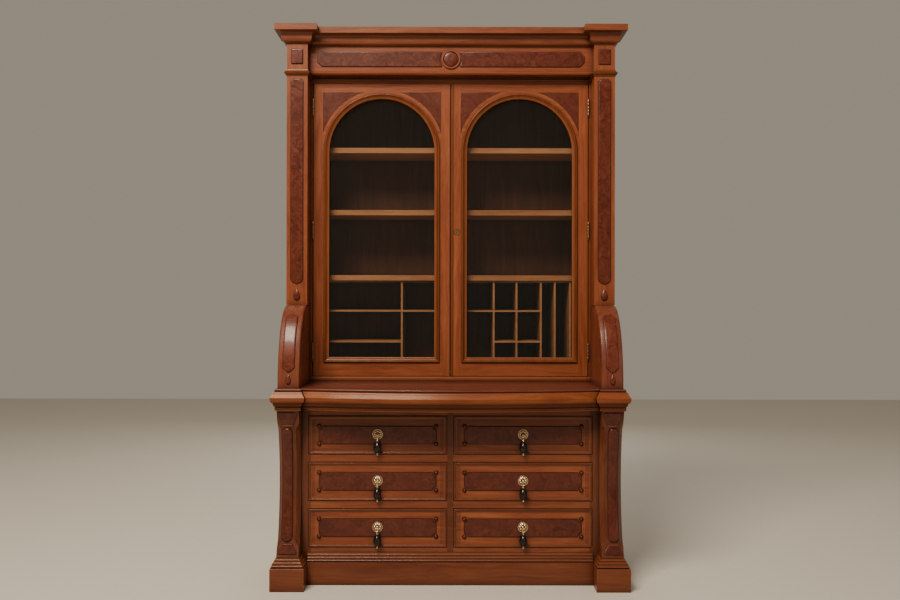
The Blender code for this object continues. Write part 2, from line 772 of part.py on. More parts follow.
def make_doors():
    """A frame with an arched opening and two sunk corner fields, glass in its rebate, and the lock's plate."""
    face, back = front(UPPER_FRAME_D), front(UPPER_FRAME_D - DOOR_T)
    glass_face = back - REBATE_DEPTH + GAP
    for name, side in SIDES.items():
        outer = mirrored(rectangle(DOOR_X, DOOR_Z), side)
        opening = mirrored(arch_outline(0), side)
        frame = solid(plate(f"door_frame_{name}", [outer, opening], "XZ", face, back))
        rebate = mirrored(arch_outline(REBATE), side)
        cutters = [plate(f"rebate_{name}", [rebate], "XZ", back - REBATE_DEPTH, back + 0.010)]
        for i, field in enumerate(spandrel_outlines()):
            sunk = (face - 0.010, face + SPANDREL_DEPTH)
            cutters.append(plate(f"spandrel_{name}_{i}", [mirrored(field, side)], "XZ", *sunk))
        keep(boolean(frame, "DIFFERENCE", *[solid(cutter) for cutter in cutters]), WALNUT)
        pane = mirrored(arch_outline(REBATE - 0.0015), side)
        glass = keep(plate(f"door_glass_{name}", [pane], "XZ", glass_face, glass_face + GLASS_T), GLASS)
        moving = [frame, glass] if side < 0 else [frame, glass, make_lock()]
        pivot(f"door_joint_{name}", (side * HINGE_X, face - HINGE_OUT, DOOR_Z[0]), *moving)


def make_hinges():
    """Each hinge is a barrel on the door's axis with its leaf let into the joint beside the frame."""
    leaf_near, leaf_far, leaf_end = 0.0010, 0.0025, 0.0265
    start = math.degrees(math.atan2(math.sqrt(HINGE_R**2 - leaf_near**2), leaf_near))
    end = math.degrees(math.atan2(math.sqrt(HINGE_R**2 - leaf_far**2), leaf_far)) + 360
    outline = arc((0, 0), HINGE_R, start, end, ROUND_STEPS) + [(leaf_far, leaf_end), (leaf_near, leaf_end)]
    axis_y = front(UPPER_FRAME_D + HINGE_OUT)
    for side_name, side in SIDES.items():
        for place, middle in HINGE_MIDDLES.items():
            points = mirrored([(HINGE_X + x, axis_y + y) for x, y in outline], side)
            z = (middle - HINGE_H / 2, middle + HINGE_H / 2)
            keep(plate(f"hinge_{side_name}_{place}", [points], "XY", *z), BRASS)


def smooth_round_parts():
    """Shades turned and curved meshes smooth, with sharp edges kept."""
    for obj in PARTS.objects:
        if obj.type == "MESH":
            obj.data.shade_smooth()
            obj.data.set_sharp_from_angle(angle=math.radians(35))


make_base_sides()
make_base_carcass()
make_face_frame()
make_plinth()
make_base_posts()
make_drawers()
make_waist()
make_writing_slide()
make_upper_sides()
make_upper_carcass()
make_posts_and_brackets()
make_frieze()
make_cornice()
make_pigeonholes()
make_doors()
make_hinges()
smooth_round_parts()
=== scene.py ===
"""The looks of the secretary desk: mouldings, veneers, pulls, materials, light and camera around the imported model.

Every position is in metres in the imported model's own frame: +X right, +Y to the back, +Z up, origin on the floor.
"""

import math

import bmesh
import bpy
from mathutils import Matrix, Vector


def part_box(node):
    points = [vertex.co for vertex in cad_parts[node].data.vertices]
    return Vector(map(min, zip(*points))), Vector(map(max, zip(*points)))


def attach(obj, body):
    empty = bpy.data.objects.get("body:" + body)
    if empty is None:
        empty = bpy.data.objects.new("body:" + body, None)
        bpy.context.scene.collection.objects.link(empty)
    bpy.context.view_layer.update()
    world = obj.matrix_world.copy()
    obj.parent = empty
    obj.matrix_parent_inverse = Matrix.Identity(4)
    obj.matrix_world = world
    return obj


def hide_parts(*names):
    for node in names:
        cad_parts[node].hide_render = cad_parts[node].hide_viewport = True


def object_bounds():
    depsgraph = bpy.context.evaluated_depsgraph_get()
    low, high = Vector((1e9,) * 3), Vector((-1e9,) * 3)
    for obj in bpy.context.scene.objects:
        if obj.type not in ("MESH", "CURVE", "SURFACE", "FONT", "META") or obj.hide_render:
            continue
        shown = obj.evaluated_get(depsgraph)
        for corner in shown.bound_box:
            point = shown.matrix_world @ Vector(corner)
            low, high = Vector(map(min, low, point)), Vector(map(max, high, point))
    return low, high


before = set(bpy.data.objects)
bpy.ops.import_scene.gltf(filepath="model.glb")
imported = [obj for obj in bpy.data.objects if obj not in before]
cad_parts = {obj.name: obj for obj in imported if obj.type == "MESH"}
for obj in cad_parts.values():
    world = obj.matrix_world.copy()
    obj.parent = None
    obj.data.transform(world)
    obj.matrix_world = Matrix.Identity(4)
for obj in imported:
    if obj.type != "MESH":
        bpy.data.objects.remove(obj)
CAD_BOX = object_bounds()
BACK_Y = CAD_BOX[1][1]
SIDES = {"left": -1, "right": 1}
ROWS = ("bottom", "middle", "top")


def front(d):
    """The y of the plane that lies d in front of the desk's back."""
    return BACK_Y - d


# -------- materials
class Graph:
    """A material with short calls for making its nodes."""

    def __init__(self, name):
        self.material = bpy.data.materials.new(name)
        self.material.use_nodes = True
        self.nodes = self.material.node_tree.nodes
        self.links = self.material.node_tree.links
        self.shader = self.nodes["Principled BSDF"]
        self.place = self.nodes.new("ShaderNodeTexCoord").outputs["Object"]

    def put(self, socket, value):
        if isinstance(value, bpy.types.NodeSocket):
            self.links.new(value, socket)
        else:
            socket.default_value = value

    def node(self, kind, *values, **named):
        """A new node with its first inputs filled in order, and others by name."""
        node = self.nodes.new(f"ShaderNode{kind}")
        for socket, value in [*zip(node.inputs, values), *((node.inputs[name], named[name]) for name in named)]:
            self.put(socket, value)
        return node

    def surface(self, **values):
        """Fills the shader's inputs, named with _ for each space."""
        for name, value in values.items():
            self.put(self.shader.inputs[name.replace("_", " ")], value)

    def math(self, operation, *values, kind="Math"):
        node = self.node(kind, *values)
        node.operation = operation
        return node.outputs[0]

    def vector(self, operation, a, b):
        return self.math(operation, a, b, kind="VectorMath")

    def axis(self, vector, name):
        return self.node("SeparateXYZ", vector).outputs[name]

    def noise(self, vector, scale, detail=3.0, roughness=0.6, distortion=0.0, output="Fac"):
        node = self.node("TexNoise", vector, Scale=scale, Detail=detail, Roughness=roughness, Distortion=distortion)
        return node.outputs[output]

    def cells(self, vector, scale):
        return self.node("TexVoronoi", vector, Scale=scale).outputs["Distance"]

    def ramp(self, factor, stops):
        node = self.node("ValToRGB", factor)
        elements = node.color_ramp.elements
        while len(elements) < len(stops):
            elements.new(0.5)
        for element, (position, colour) in zip(elements, stops):
            element.position = position
            element.color = (*colour, 1.0)
        return node.outputs[0]

    def mix(self, factor, a, b, blend="MIX"):
        node = self.node("Mix", factor)
        node.data_type = "RGBA"
        node.blend_type = blend
        for socket, value in ((node.inputs[6], a), (node.inputs[7], b)):
            self.put(socket, (*value, 1.0) if isinstance(value, tuple) else value)
        return node.outputs[2]

    def remap(self, value, low, high, to_low, to_high):
        return self.node("MapRange", value, low, high, to_low, to_high).outputs[0]

    def open_sky(self, distance, inside=False):
        """How open a point is to its surroundings within a distance: 1 is free, 0 is a deep crevice."""
        node = self.node("AmbientOcclusion", Distance=distance)
        node.samples = 4
        node.inside = inside
        return node.outputs["AO"]

    def bump(self, height, distance, strength=1.0):
        self.surface(Normal=self.node("Bump", Distance=distance, Strength=strength, Height=height).outputs[0])


DRAWER_X = 0.31015  # middle of a drawer, to either side
DRAWER_BAY = (0.3038, 0.2905)  # middle and half width between the stiles beside a row of drawers
BACK_BOARD_WIDTH = 0.2044
ALONG = 0.07  # width of a figure in the wood as a part of its length
STRETCH = {"X": (ALONG, 1, 1), "Y": (1, ALONG, 1), "Z": (1, 1, ALONG)}


def tone(colour, factor):
    return tuple(channel * factor for channel in colour)


def beyond(g, value, middle, half):
    """1 where a value lies farther than half from middle, else 0."""
    return g.math("GREATER_THAN", g.math("ABSOLUTE", g.math("SUBTRACT", value, middle)), half)


def grain_place(g, grain, stiles=None):
    """The stretched place that grain is read at. stiles is (middle, half): grain is upright beyond half from middle."""
    drift = g.noise(g.place, 2.2, 2.0, output="Color")
    place = g.vector("ADD", g.place, g.vector("MULTIPLY", drift, (0.045, 0.045, 0.045)))
    if stiles is None:
        return g.vector("MULTIPLY", place, STRETCH[grain])
    node = g.node("Mix", beyond(g, g.axis(g.place, "X"), *stiles))
    node.data_type = "VECTOR"
    g.put(node.inputs[4], g.vector("MULTIPLY", place, STRETCH["X"]))
    g.put(node.inputs[5], g.vector("MULTIPLY", g.vector("ADD", place, (3.1, 0.4, 1.7)), STRETCH["Z"]))
    return node.outputs[1]


def wood_colour(g, place, tones):
    """Broad figure, streaks and fibres in four tones, darkest first."""
    figure = g.noise(place, 26.0, 5.0, 0.58, 1.6)
    fibres = g.noise(place, 260.0, 3.0, 0.7)
    broad = g.noise(g.place, 3.1, 2.0)
    level = g.math("MULTIPLY_ADD", figure, 0.62, g.math("MULTIPLY", fibres, 0.22))
    level = g.math("MULTIPLY_ADD", broad, 0.2, level)
    colour = g.ramp(level, list(zip((0.27, 0.44, 0.6, 0.8), tones)))
    streak = g.remap(g.noise(place, 75.0, 2.0, 0.5, 0.8), 0.6, 0.74, 0.0, 0.22)
    return g.mix(streak, colour, tones[0]), fibres


def aged_with_painted_shade(g, colour, dark, worn, reach=0.034):
    """Dirt and painted shade where the surface is shut in, and lighter rubbed edges."""
    # painted shade: the colour darkens where little of the surroundings is open, for the dirt and the shade that gather
    # in crevices
    crevice = g.remap(g.open_sky(reach), 0.35, 0.95, 0.75, 0.0)
    edge = g.remap(g.open_sky(0.004, inside=True), 0.35, 0.8, 0.45, 0.0)
    return g.mix(crevice, g.mix(edge, colour, worn), dark)


WALNUT_TONES = ((0.09, 0.0155, 0.0058), (0.152, 0.0335, 0.0115), (0.212, 0.0555, 0.0185), (0.29, 0.09, 0.031))
BURL_TONES = ((0.056, 0.0082, 0.0031), (0.08, 0.0132, 0.005), (0.102, 0.018, 0.0066), (0.13, 0.0255, 0.0095))
PINE_TONES = ((0.3, 0.13, 0.038), (0.4, 0.195, 0.064), (0.48, 0.255, 0.092), (0.56, 0.32, 0.13))
SHELF_TONES = ((0.22, 0.076, 0.026), (0.33, 0.133, 0.051), (0.42, 0.19, 0.08), (0.51, 0.255, 0.115))
DARK_TONES = ((0.03, 0.008, 0.003), (0.06, 0.0175, 0.0065), (0.09, 0.028, 0.0105), (0.12, 0.04, 0.0155))


def ends_in_painted_shade(g, colour, middle, half, factor):
    """Painted shade: the colour made darker beyond half from middle on either side of the desk."""
    ends = beyond(g, g.math("ABSOLUTE", g.axis(g.place, "X")), middle, half)
    return g.mix(ends, colour, g.mix(1.0, colour, (factor,) * 3, "MULTIPLY"))


def finish_wood(g, colour, fibres, gloss, coat, grain_depth=0.00025):
    g.surface(Base_Color=colour, Roughness=g.remap(fibres, 0.3, 0.7, *gloss))
    g.surface(Specular_IOR_Level=0.24, Coat_Weight=coat, Coat_Roughness=0.12)
    g.bump(fibres, grain_depth, 0.5)
    return g.material


def walnut(name, grain="Z", strength=1.0, stiles=None, cool=1.0, stile_shade=1.0, painted_shade_below=None, coat=0.18):
    """Walnut with grain along an axis. cool adds blue, stile_shade paints shade on the stiles, painted_shade_below is a
    height under which the colour is darkened as painted shade.
    """
    g = Graph(name)
    tones = [(r * strength, v * strength, b * strength * cool) for r, v, b in WALNUT_TONES]
    colour, fibres = wood_colour(g, grain_place(g, grain, stiles), tones)
    if stile_shade < 1.0:
        # painted shade on the stiles beside the drawers
        colour = ends_in_painted_shade(g, colour, *DRAWER_BAY, stile_shade)
    if painted_shade_below:
        # painted shade: darker below the given height, where the overhang above casts its shadow
        low = g.remap(g.axis(g.place, "Z"), painted_shade_below, painted_shade_below + 0.006, 0.66, 0.0)
        colour = g.mix(low, colour, tone(tones[0], 0.2))
    colour = aged_with_painted_shade(g, colour, tone(tones[0], 0.35), tone(tones[3], 1.25))
    return finish_wood(g, colour, fibres, (0.3, 0.46), coat)


def burl(name, strength=1.0):
    """Veneer with swirled clouds and small dark eyes."""
    g = Graph(name)
    swirl = g.vector("MULTIPLY", g.noise(g.place, 11.0, 3.0, output="Color"), (0.13, 0.13, 0.13))
    place = g.vector("ADD", g.place, swirl)
    clouds = g.noise(place, 27.0, 6.0, 0.62, 1.4)
    tones = [tone(t, strength) for t in BURL_TONES]
    colour = g.ramp(clouds, list(zip((0.34, 0.46, 0.56, 0.7), tones)))
    eyes = g.remap(g.cells(place, 78.0), 0.06, 0.26, 0.28, 0.0)
    colour = g.mix(eyes, colour, tones[0])
    colour = aged_with_painted_shade(g, colour, tone(tones[0], 0.4), tone(tones[3], 1.3), 0.012)
    return finish_wood(g, colour, clouds, (0.28, 0.42), 0.22, 0.00012)


def boarded(g, colour, width):
    """Upright boards of one width, side by side: each has its own tone, with a dark joint between them."""
    count = g.math("DIVIDE", g.axis(g.place, "X"), width)
    number = g.math("FLOOR", count)
    wave = g.math("SINE", g.math("MULTIPLY", number, 2.4))
    part = g.math("ABSOLUTE", g.math("SUBTRACT", g.math("SUBTRACT", count, number), 0.5))
    joint = g.remap(part, 0.5 - 0.0035 / width, 0.5 - 0.0012 / width, 0.0, 0.85)
    toned = g.mix(g.remap(wave, -1.0, 1.0, 0.0, 0.35), colour, tone(PINE_TONES[0], 0.7))
    return g.mix(joint, toned, tone(PINE_TONES[0], 0.1))


def two_woods(name, front_tones, grain, back_tones, split_y, drawer=True):
    """One wood in front of split_y and another behind it, for a drawer or for the boards of the desk's back."""
    g = Graph(name)
    place = grain_place(g, grain)
    near, fibres = wood_colour(g, place, front_tones)
    if drawer:
        # painted shade on both ends of each drawer front
        near = ends_in_painted_shade(g, near, DRAWER_X, 0.266, 0.74)
        far, _ = wood_colour(g, grain_place(g, "X"), back_tones)
    else:
        far, _ = wood_colour(g, grain_place(g, "Z"), back_tones)
        far = boarded(g, far, BACK_BOARD_WIDTH)
    behind = g.math("GREATER_THAN", g.axis(g.place, "Y"), split_y)
    colour = aged_with_painted_shade(g, g.mix(behind, near, far), tone(front_tones[0], 0.4), tone(front_tones[3], 1.1))
    return finish_wood(g, colour, fibres, (0.34, 0.55), 0.15 if drawer else 0.0)


def plain_wood(name, tones, grain, gloss=(0.5, 0.7), coat=0.0):
    g = Graph(name)
    colour, fibres = wood_colour(g, grain_place(g, grain), tones)
    colour = aged_with_painted_shade(g, colour, tone(tones[0], 0.4), tone(tones[3], 1.05))
    return finish_wood(g, colour, fibres, gloss, coat)


def metal(name, bright, tarnish, roughness):
    g = Graph(name)
    patches = g.noise(g.place, 90.0, 4.0, 0.6)
    fine = g.noise(g.place, 900.0, 2.0)
    crevice = g.remap(g.open_sky(0.006), 0.25, 0.9, 0.9, 0.0)
    colour = g.mix(g.remap(patches, 0.45, 0.7, 0.0, 0.45), bright, tarnish)
    g.surface(Base_Color=g.mix(crevice, colour, tone(tarnish, 0.3)), Metallic=1.0)
    g.surface(Roughness=g.remap(patches, 0.3, 0.7, *roughness))
    g.bump(fine, 0.0001, 0.4)
    return g.material


def ebonised(name):
    g = Graph(name)
    rub = g.noise(g.place, 120.0, 3.0)
    colour = g.mix(g.remap(rub, 0.4, 0.7, 0.0, 1.0), (0.0035, 0.0028, 0.003), (0.012, 0.0065, 0.0055))
    g.surface(Base_Color=colour, Roughness=g.remap(rub, 0.3, 0.7, 0.16, 0.3))
    g.surface(Specular_IOR_Level=0.3, Coat_Weight=0.2, Coat_Roughness=0.08)
    g.bump(g.noise(g.place, 500.0, 2.0), 0.00006, 0.4)
    return g.material


def clear_glass(name):
    """Old window glass: mostly clear, with a faint tint and a very slight waviness."""
    g = Graph(name)
    waves = g.noise(g.vector("MULTIPLY", g.place, (1, 1, 0.35)), 7.0, 2.0)
    tint = g.mix(waves, (0.014, 0.017, 0.015), (0.02, 0.023, 0.021))
    g.surface(Base_Color=tint, Roughness=0.04, Alpha=0.14, Coat_Weight=1.0, Coat_Roughness=0.02)
    g.bump(waves, 0.001, 0.1)
    return g.material


def leather(name):
    g = Graph(name)
    pebble = g.cells(g.place, 420.0)
    worn = g.noise(g.place, 9.0, 4.0, 0.6)
    colour = g.mix(g.remap(worn, 0.38, 0.66, 0.0, 1.0), (0.06, 0.018, 0.01), (0.125, 0.046, 0.024))
    g.surface(Base_Color=colour, Roughness=g.remap(worn, 0.3, 0.7, 0.42, 0.62))
    g.bump(pebble, 0.0004, 0.6)
    return g.material


def pale_floor(name):
    g = Graph(name)
    speckle = g.noise(g.place, 60.0, 4.0)
    g.surface(Base_Color=g.mix(speckle, (0.52, 0.485, 0.43), (0.6, 0.565, 0.51)), Roughness=0.85)
    g.bump(speckle, 0.002, 0.3)
    return g.material


WALNUT_X = walnut("walnut_level", "X")
WALNUT_Z = walnut("walnut_upright", "Z")
DARK_X = walnut("dark_walnut_level", "X", 0.74)
DARK_Z = walnut("dark_walnut_upright", "Z", 0.56)
TOP_X = walnut("desk_top_walnut", "X", 0.6, cool=1.7)
BRACKET_Z = walnut("bracket_walnut", "Z", 0.76, cool=1.4)
BRACKET_BURL = burl("bracket_burl", 1.12)
# painted shadow: the near-black colour of the thin lines drawn where shade falls in grooves and gaps
SHADOW_LINES = plain_wood("painted_groove_shadow", [tone(t, 0.35) for t in DARK_TONES], "X", (0.4, 0.6))
BUTTON = walnut("turned_button_walnut", "Z", 0.42)
BURL = burl("burl_veneer", 0.93)
DARK_BURL = burl("dark_burl_veneer", 0.86)
POST_BURL = burl("post_burl", 0.8)
BRASS = metal("worn_brass", (0.7, 0.52, 0.33), (0.26, 0.155, 0.085), (0.24, 0.42))
BRONZE = metal("dark_bronze", (0.3, 0.165, 0.09), (0.11, 0.05, 0.026), (0.32, 0.5))
EBONY = ebonised("ebonised_wood")
GLASS = clear_glass("window_glass")
DARK_ARCH = walnut("dark_walnut_arches", "Z", 0.68, coat=0.08)
CROWN = walnut("crown_walnut", "X", 0.84)
NECK = walnut("neck_walnut", "X", 0.52, coat=0.08)
# the waist is darkened under its nose as painted shade
WAIST = walnut("waist_walnut_painted_shade", "X", 0.98, painted_shade_below=0.779, coat=0.07)
PLINTH_X = walnut("plinth_walnut", "X", 0.66)
SPANDREL_BURL = burl("spandrel_burl", 0.72)
LEATHER = leather("writing_leather")
GILT = metal("gilt_line", (0.8, 0.56, 0.24), (0.45, 0.28, 0.1), (0.25, 0.4))

WARM_GLOSS = (1.0, 0.74, 0.53, 1.0)  # the old finish on the mouldings that catch the most light
for mellow in (WAIST, DARK_ARCH, NECK):
    mellow.node_tree.nodes["Principled BSDF"].inputs["Specular Tint"].default_value = WARM_GLOSS


# -------- shapes
def placed(name, data):
    """A new object in the scene."""
    obj = bpy.data.objects.new(name, data)
    bpy.context.scene.collection.objects.link(obj)
    return obj


def meshed(name, bm, material):
    """An object made of a bmesh, and its mesh."""
    mesh = bpy.data.meshes.new(name)
    bm.to_mesh(mesh)
    bm.free()
    mesh.materials.append(material)
    return placed(name, mesh), mesh


def finished(name, bm, material, body="case", stands_for=(), bevel=0.0, smooth=35.0):
    """Turns a bmesh into a piece that rides on a body and takes its finish from a slot."""
    bmesh.ops.recalc_face_normals(bm, faces=bm.faces)
    obj, mesh = meshed(name, bm, material)
    mesh.shade_smooth()
    mesh.set_sharp_from_angle(angle=math.radians(smooth))
    if bevel:
        soften(obj, bevel)
    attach(obj, body)
    if stands_for:
        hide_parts(*stands_for)


def soften(obj, width):
    modifier = obj.modifiers.new("soft edges", "BEVEL")
    modifier.width = width
    modifier.segments = 2
    modifier.limit_method = "ANGLE"
    modifier.angle_limit = math.radians(40)
    modifier.harden_normals = True


def skin(bm, rings, loop=False):
    """Faces between rings of equal point count. The rings close on themselves, or their ends are capped."""
    levels = [[bm.verts.new(point) for point in ring] for ring in rings]
    following = levels[1:] + levels[:1] if loop else levels[1:]
    count = len(levels[0])
    for a, b in zip(levels, following):
        for i in range(count):
            j = (i + 1) % count
            bm.faces.new((a[i], a[j], b[j], b[i]))
    if not loop:
        bm.faces.new(levels[0])
        bm.faces.new(list(reversed(levels[-1])))


def bend(a, b, bulge, steps):
    """Points from a to b along a curve that bulges to the left of the way by bulge times the length. b is included."""
    (ax, ay), (bx, by) = a, b
    middle = ((ax + bx) / 2 - (by - ay) * bulge * 2, (ay + by) / 2 + (bx - ax) * bulge * 2)
    points = []
    for i in range(1, steps + 1):
        t = i / steps
        u = 1 - t
        points.append(tuple(u * u * a[k] + 2 * u * t * middle[k] + t * t * b[k] for k in (0, 1)))
    return points


def swept(*marks):
    """A profile of points (a, b), and of marks (a, b, bulge, steps) that a curve from the last point ends on."""
    points = []
    for mark in marks:
        points += [mark] if len(mark) == 2 else bend(points[-1], mark[:2], *mark[2:])
    return points


def arc(middle, radius, start, end, steps):
    """Points on an arc, with angles in degrees from the first axis."""
    angles = [math.radians(start + (end - start) * i / steps) for i in range(steps + 1)]
    return [(middle[0] + radius * math.cos(angle), middle[1] + radius * math.sin(angle)) for angle in angles]


def around(steps):
    """Angles of equal steps all the way round."""
    return [2 * math.pi * i / steps for i in range(steps)]


def moved_outline(points, moves):
    """An anticlockwise outline with edge i moved outwards by moves[i], and its corners mitred."""
    lines = []
    for (x0, y0), (x1, y1), move in zip(points, points[1:] + points[:1], moves):
        length = math.hypot(x1 - x0, y1 - y0)
        ux, uy = (x1 - x0) / length, (y1 - y0) / length
        lines.append((x0 + uy * move, y0 - ux * move, ux, uy))
    corners = []
    for (ax, ay, aux, auy), (bx, by, bux, buy) in zip(lines[-1:] + lines, lines):
        cross = aux * buy - auy * bux
        if abs(cross) > 1e-9:
            t = ((bx - ax) * buy - (by - ay) * bux) / cross
            corners.append((ax + aux * t, ay + auy * t))
        else:
            corners.append((bx, by))
    return corners


def grown(points, distance):
    return moved_outline(points, [distance] * len(points))


def mirrored(points, side):
    """The points for side 1, and for side -1 mirrored in x with their order reversed."""
    return points if side > 0 else [(-x, y) for x, y in reversed(points)]


def mirrored_edges(marks, side):
    return marks if side > 0 else [*reversed(marks[:-1]), marks[-1]]


def rectangle(x, y):
    return [(x[0], y[0]), (x[1], y[0]), (x[1], y[1]), (x[0], y[1])]


def framing(bm, outline, profile, y):
    """A mitred moulding round an outline of (x, z). The profile is a closed one of (outwards, forwards)."""
    loops = [[(x, y - forward, z) for x, z in grown(outline, out)] for out, forward in profile]
    skin(bm, list(zip(*loops)), loop=True)


def raised(bm, outline, y, height, edge, sunk=0.0005):
    """A raised field on the plane y with eased edges: it stands height proud and starts sunk behind the plane."""
    steps = ((0.0, -sunk), (0.0, height - edge), (-edge * 0.35, height - edge * 0.3), (-edge, height))
    steps += ((-edge - 0.0006, height),)
    skin(bm, [[(x, y - up, z) for x, z in grown(outline, out)] for out, up in steps])


def painted_shadow_line(name, outlines, y, body="case"):
    """A painted shadow: the thin dark line that runs round each veneered field on the plane y, where a shadow groove
    would be.
    """
    bm = bmesh.new()
    for outline in outlines:
        framing(bm, outline, ((-0.0002, -0.0004), (-0.0002, 0.0006), (0.0022, 0.0005), (0.0022, -0.0004)), y)
    finished(name, bm, SHADOW_LINES, body, smooth=30)


def turned(bm, profile, middle, axis, steps=32):
    """A shape turned about an axis through middle, from (radius, along the axis) points. The ends lie on the axis."""
    along = Vector(axis).normalized()
    side = along.orthogonal().normalized()
    other = along.cross(side)
    spokes = [side * math.cos(angle) + other * math.sin(angle) for angle in around(steps)]
    rings = []
    for radius, rise in profile:
        rings.append([Vector(middle) + along * rise + spoke * max(radius, 0.00002) for spoke in spokes])
    skin(bm, rings)


def slab(bm, low, high):
    """A box between two corners."""
    made = bmesh.ops.create_cube(bm, size=1.0)["verts"]
    bmesh.ops.scale(bm, vec=[b - a for a, b in zip(low, high)], verts=made)
    bmesh.ops.translate(bm, vec=[(a + b) / 2 for a, b in zip(low, high)], verts=made)


def lofted(bm, outline, moving, profile):
    """A plan outline of (x, y) lofted up through a moulding profile of (z, outwards)."""
    skin(bm, [[(x, y, z) for x, y in moved_outline(outline, [out * on for on in moving])] for z, out in profile])


def draped(bm, middle_x, track, section):
    """A strap along a track of (y, z, forward y, forward z, half width). section gives (across, height) points."""
    rings = []
    for y, z, ny, nz, half in track:
        rings.append([(middle_x + across, y + ny * up, z + nz * up) for across, up in section(half)])
    skin(bm, rings)


# -------- strap sections
def both_sides(points):
    """A closed section from its left half, which ends on the middle line."""
    return points + [(-across, height) for across, height in reversed(points[:-1])]


def domed(height, top_half):
    """A section that is a low dome, lower where the strap is narrower."""

    def section(half):
        rise = height * min(1.0, half / top_half)
        curve = [(-half * math.cos(a), rise * math.sin(a)) for a in (0.35, 0.7, 1.05, 1.3)]
        return both_sides([(-half, -0.001), *curve, (0.0, rise)])

    return section


def bevelled(height, edge):
    """A flat-topped section with a wide eased edge."""

    def section(half):
        slope = min(edge, half * 0.6)
        rise = height * slope / edge
        points = [(-half, -0.001), (-half, rise * 0.35), (-half + slope * 0.3, rise * 0.8), (-half + slope, rise)]
        return both_sides([*points, (-half + slope * 1.2, rise * 1.01), (0.0, rise * 1.05)])

    return section


def ease(t):
    t = min(1.0, max(0.0, t))
    return t * t * (3 - 2 * t)


# -------- carried-over boards
def dress(node, material, bevel=0.0012):
    """Gives a CAD node its material and eased edges."""
    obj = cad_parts[node]
    for slot in obj.material_slots:
        slot.material = material
    if bevel:
        flat = obj.modifiers.new("flat faces", "DECIMATE")
        flat.decimate_type = "DISSOLVE"
        flat.angle_limit = math.radians(0.5)
        soften(obj, bevel)


def dress_case():
    inside_back = front(0.006)
    # the stiles beside the drawers are darkened as painted shade
    dress("base_face_frame", walnut("walnut_base_frame", strength=0.95, stiles=(0.0, 0.6075), stile_shade=0.55))
    dress("upper_face_frame", walnut("walnut_upper_frame", stiles=(0.0, 0.626)))
    back = two_woods("back_boards", DARK_TONES, "Z", PINE_TONES, inside_back, drawer=False)
    for node in ("base_back_panel", "upper_back_panel"):
        dress(node, back)
    for node in ("base_floor_board", "base_partition"):
        dress(node, plain_wood(f"{node}_wood", PINE_TONES, "X"))
    dress("frieze", WALNUT_X)
    shelf = plain_wood("shelf_wood", SHELF_TONES, "X", (0.35, 0.5), 0.1)
    for node in ("shelf_top", "shelf_middle", "shelf_lower"):
        dress(node, shelf, 0.002)
    dress("pigeonholes", shelf, 0.0008)
    dress("writing_slide_board", TOP_X)
    dress("writing_leather", LEATHER, 0.0)
    for side_name, side in SIDES.items():
        door = walnut(f"walnut_door_{side_name}", strength=1.1, stiles=(side * 0.3115, 0.2695))
        dress(f"door_frame_{side_name}", door, 0.002)
        dress(f"base_side_{side_name}", WALNUT_Z)
        dress(f"upper_side_{side_name}", WALNUT_Z)
        dress(f"upper_post_{side_name}", WALNUT_Z, 0.0015)
        dress(f"door_glass_{side_name}", GLASS, 0.0)
    # painted shade: the top row's wood is darker as the shadow of the waist above it, and the rows below are lighter
    # copies of the same wood
    for row, strength in zip(ROWS, (1.18, 1.12, 0.76)):
        tones = [tone(t, strength) for t in WALNUT_TONES]
        drawer = two_woods(f"{row}_drawer_woods_painted_shade", tones, "X", PINE_TONES, front(0.5086))
        for side_name in SIDES:
            dress(f"drawer_{side_name}_{row}", drawer)


# -------- base
BASE_BACK = front(0.5303)  # what stands on the base frame's face reaches back to here
BASE_POST_X = (0.634, 0.727)
BASE_POST_Z = (0.1398, 0.7497)
KEYSTONE_X = 0.682
PADDLE_X = 0.6865
PADDLE_Z = (0.196, 0.673)


def base_post_y(z):
    """The hollow face of a base post at height z."""
    low, high = BASE_POST_Z
    middle, half = (low + high) / 2, (high - low) / 2
    return front(0.612 - 0.059 * (1 - ((z - middle) / half) ** 2))


def base_post_track(heights, half_width):
    """Points up the hollow face with their normals and the strap's half width there."""
    track = []
    for z in heights:
        slope = (base_post_y(z + 0.001) - base_post_y(z - 0.001)) / 0.002
        length = math.hypot(1, slope)
        track.append((base_post_y(z), z, -1 / length, slope / length, half_width(z)))
    return track


def spread(low, high, steps):
    """Heights from low to high that lie closer together near both ends."""
    return [low + (high - low) * (1 - math.cos(math.pi * i / steps)) / 2 for i in range(steps + 1)]


def paddle_half(z):
    """Half width of the paddle: wider at its foot, narrowest halfway up, with round ends."""
    low, high = PADDLE_Z
    middle = (low + high) / 2
    half = 0.019 + (0.0048 if z < middle else 0.0026) * ((z - middle) / (high - middle)) ** 2
    end = min(z - low, high - z)
    return half if end >= half else math.sqrt(max(1e-8, half**2 - (half - end) ** 2))


def keystone_half(z, corner, foot):
    """Half width of a keystone: wide as far as the height corner, then tapering to the height foot."""
    wide, narrow = 0.0385, 0.0205
    return wide + (narrow - wide) * max(0.0, (z - corner) / (foot - corner))


def post_edge(edge, way, wide, deep, y):
    """Half the plan of a hollow post, from its back to its face: way is 1 from the inner edge and -1 from the outer."""
    half = [(0.0, BASE_BACK), (0.0, y + deep), (wide * 0.1, y + deep * 0.82), (wide * 0.88, y + deep * 0.06)]
    half += [(wide - 0.0008, y - 0.0012), (wide + 0.0012, y - 0.0014), (wide + 0.0022, y)]
    return [(edge + way * across, v) for across, v in half]


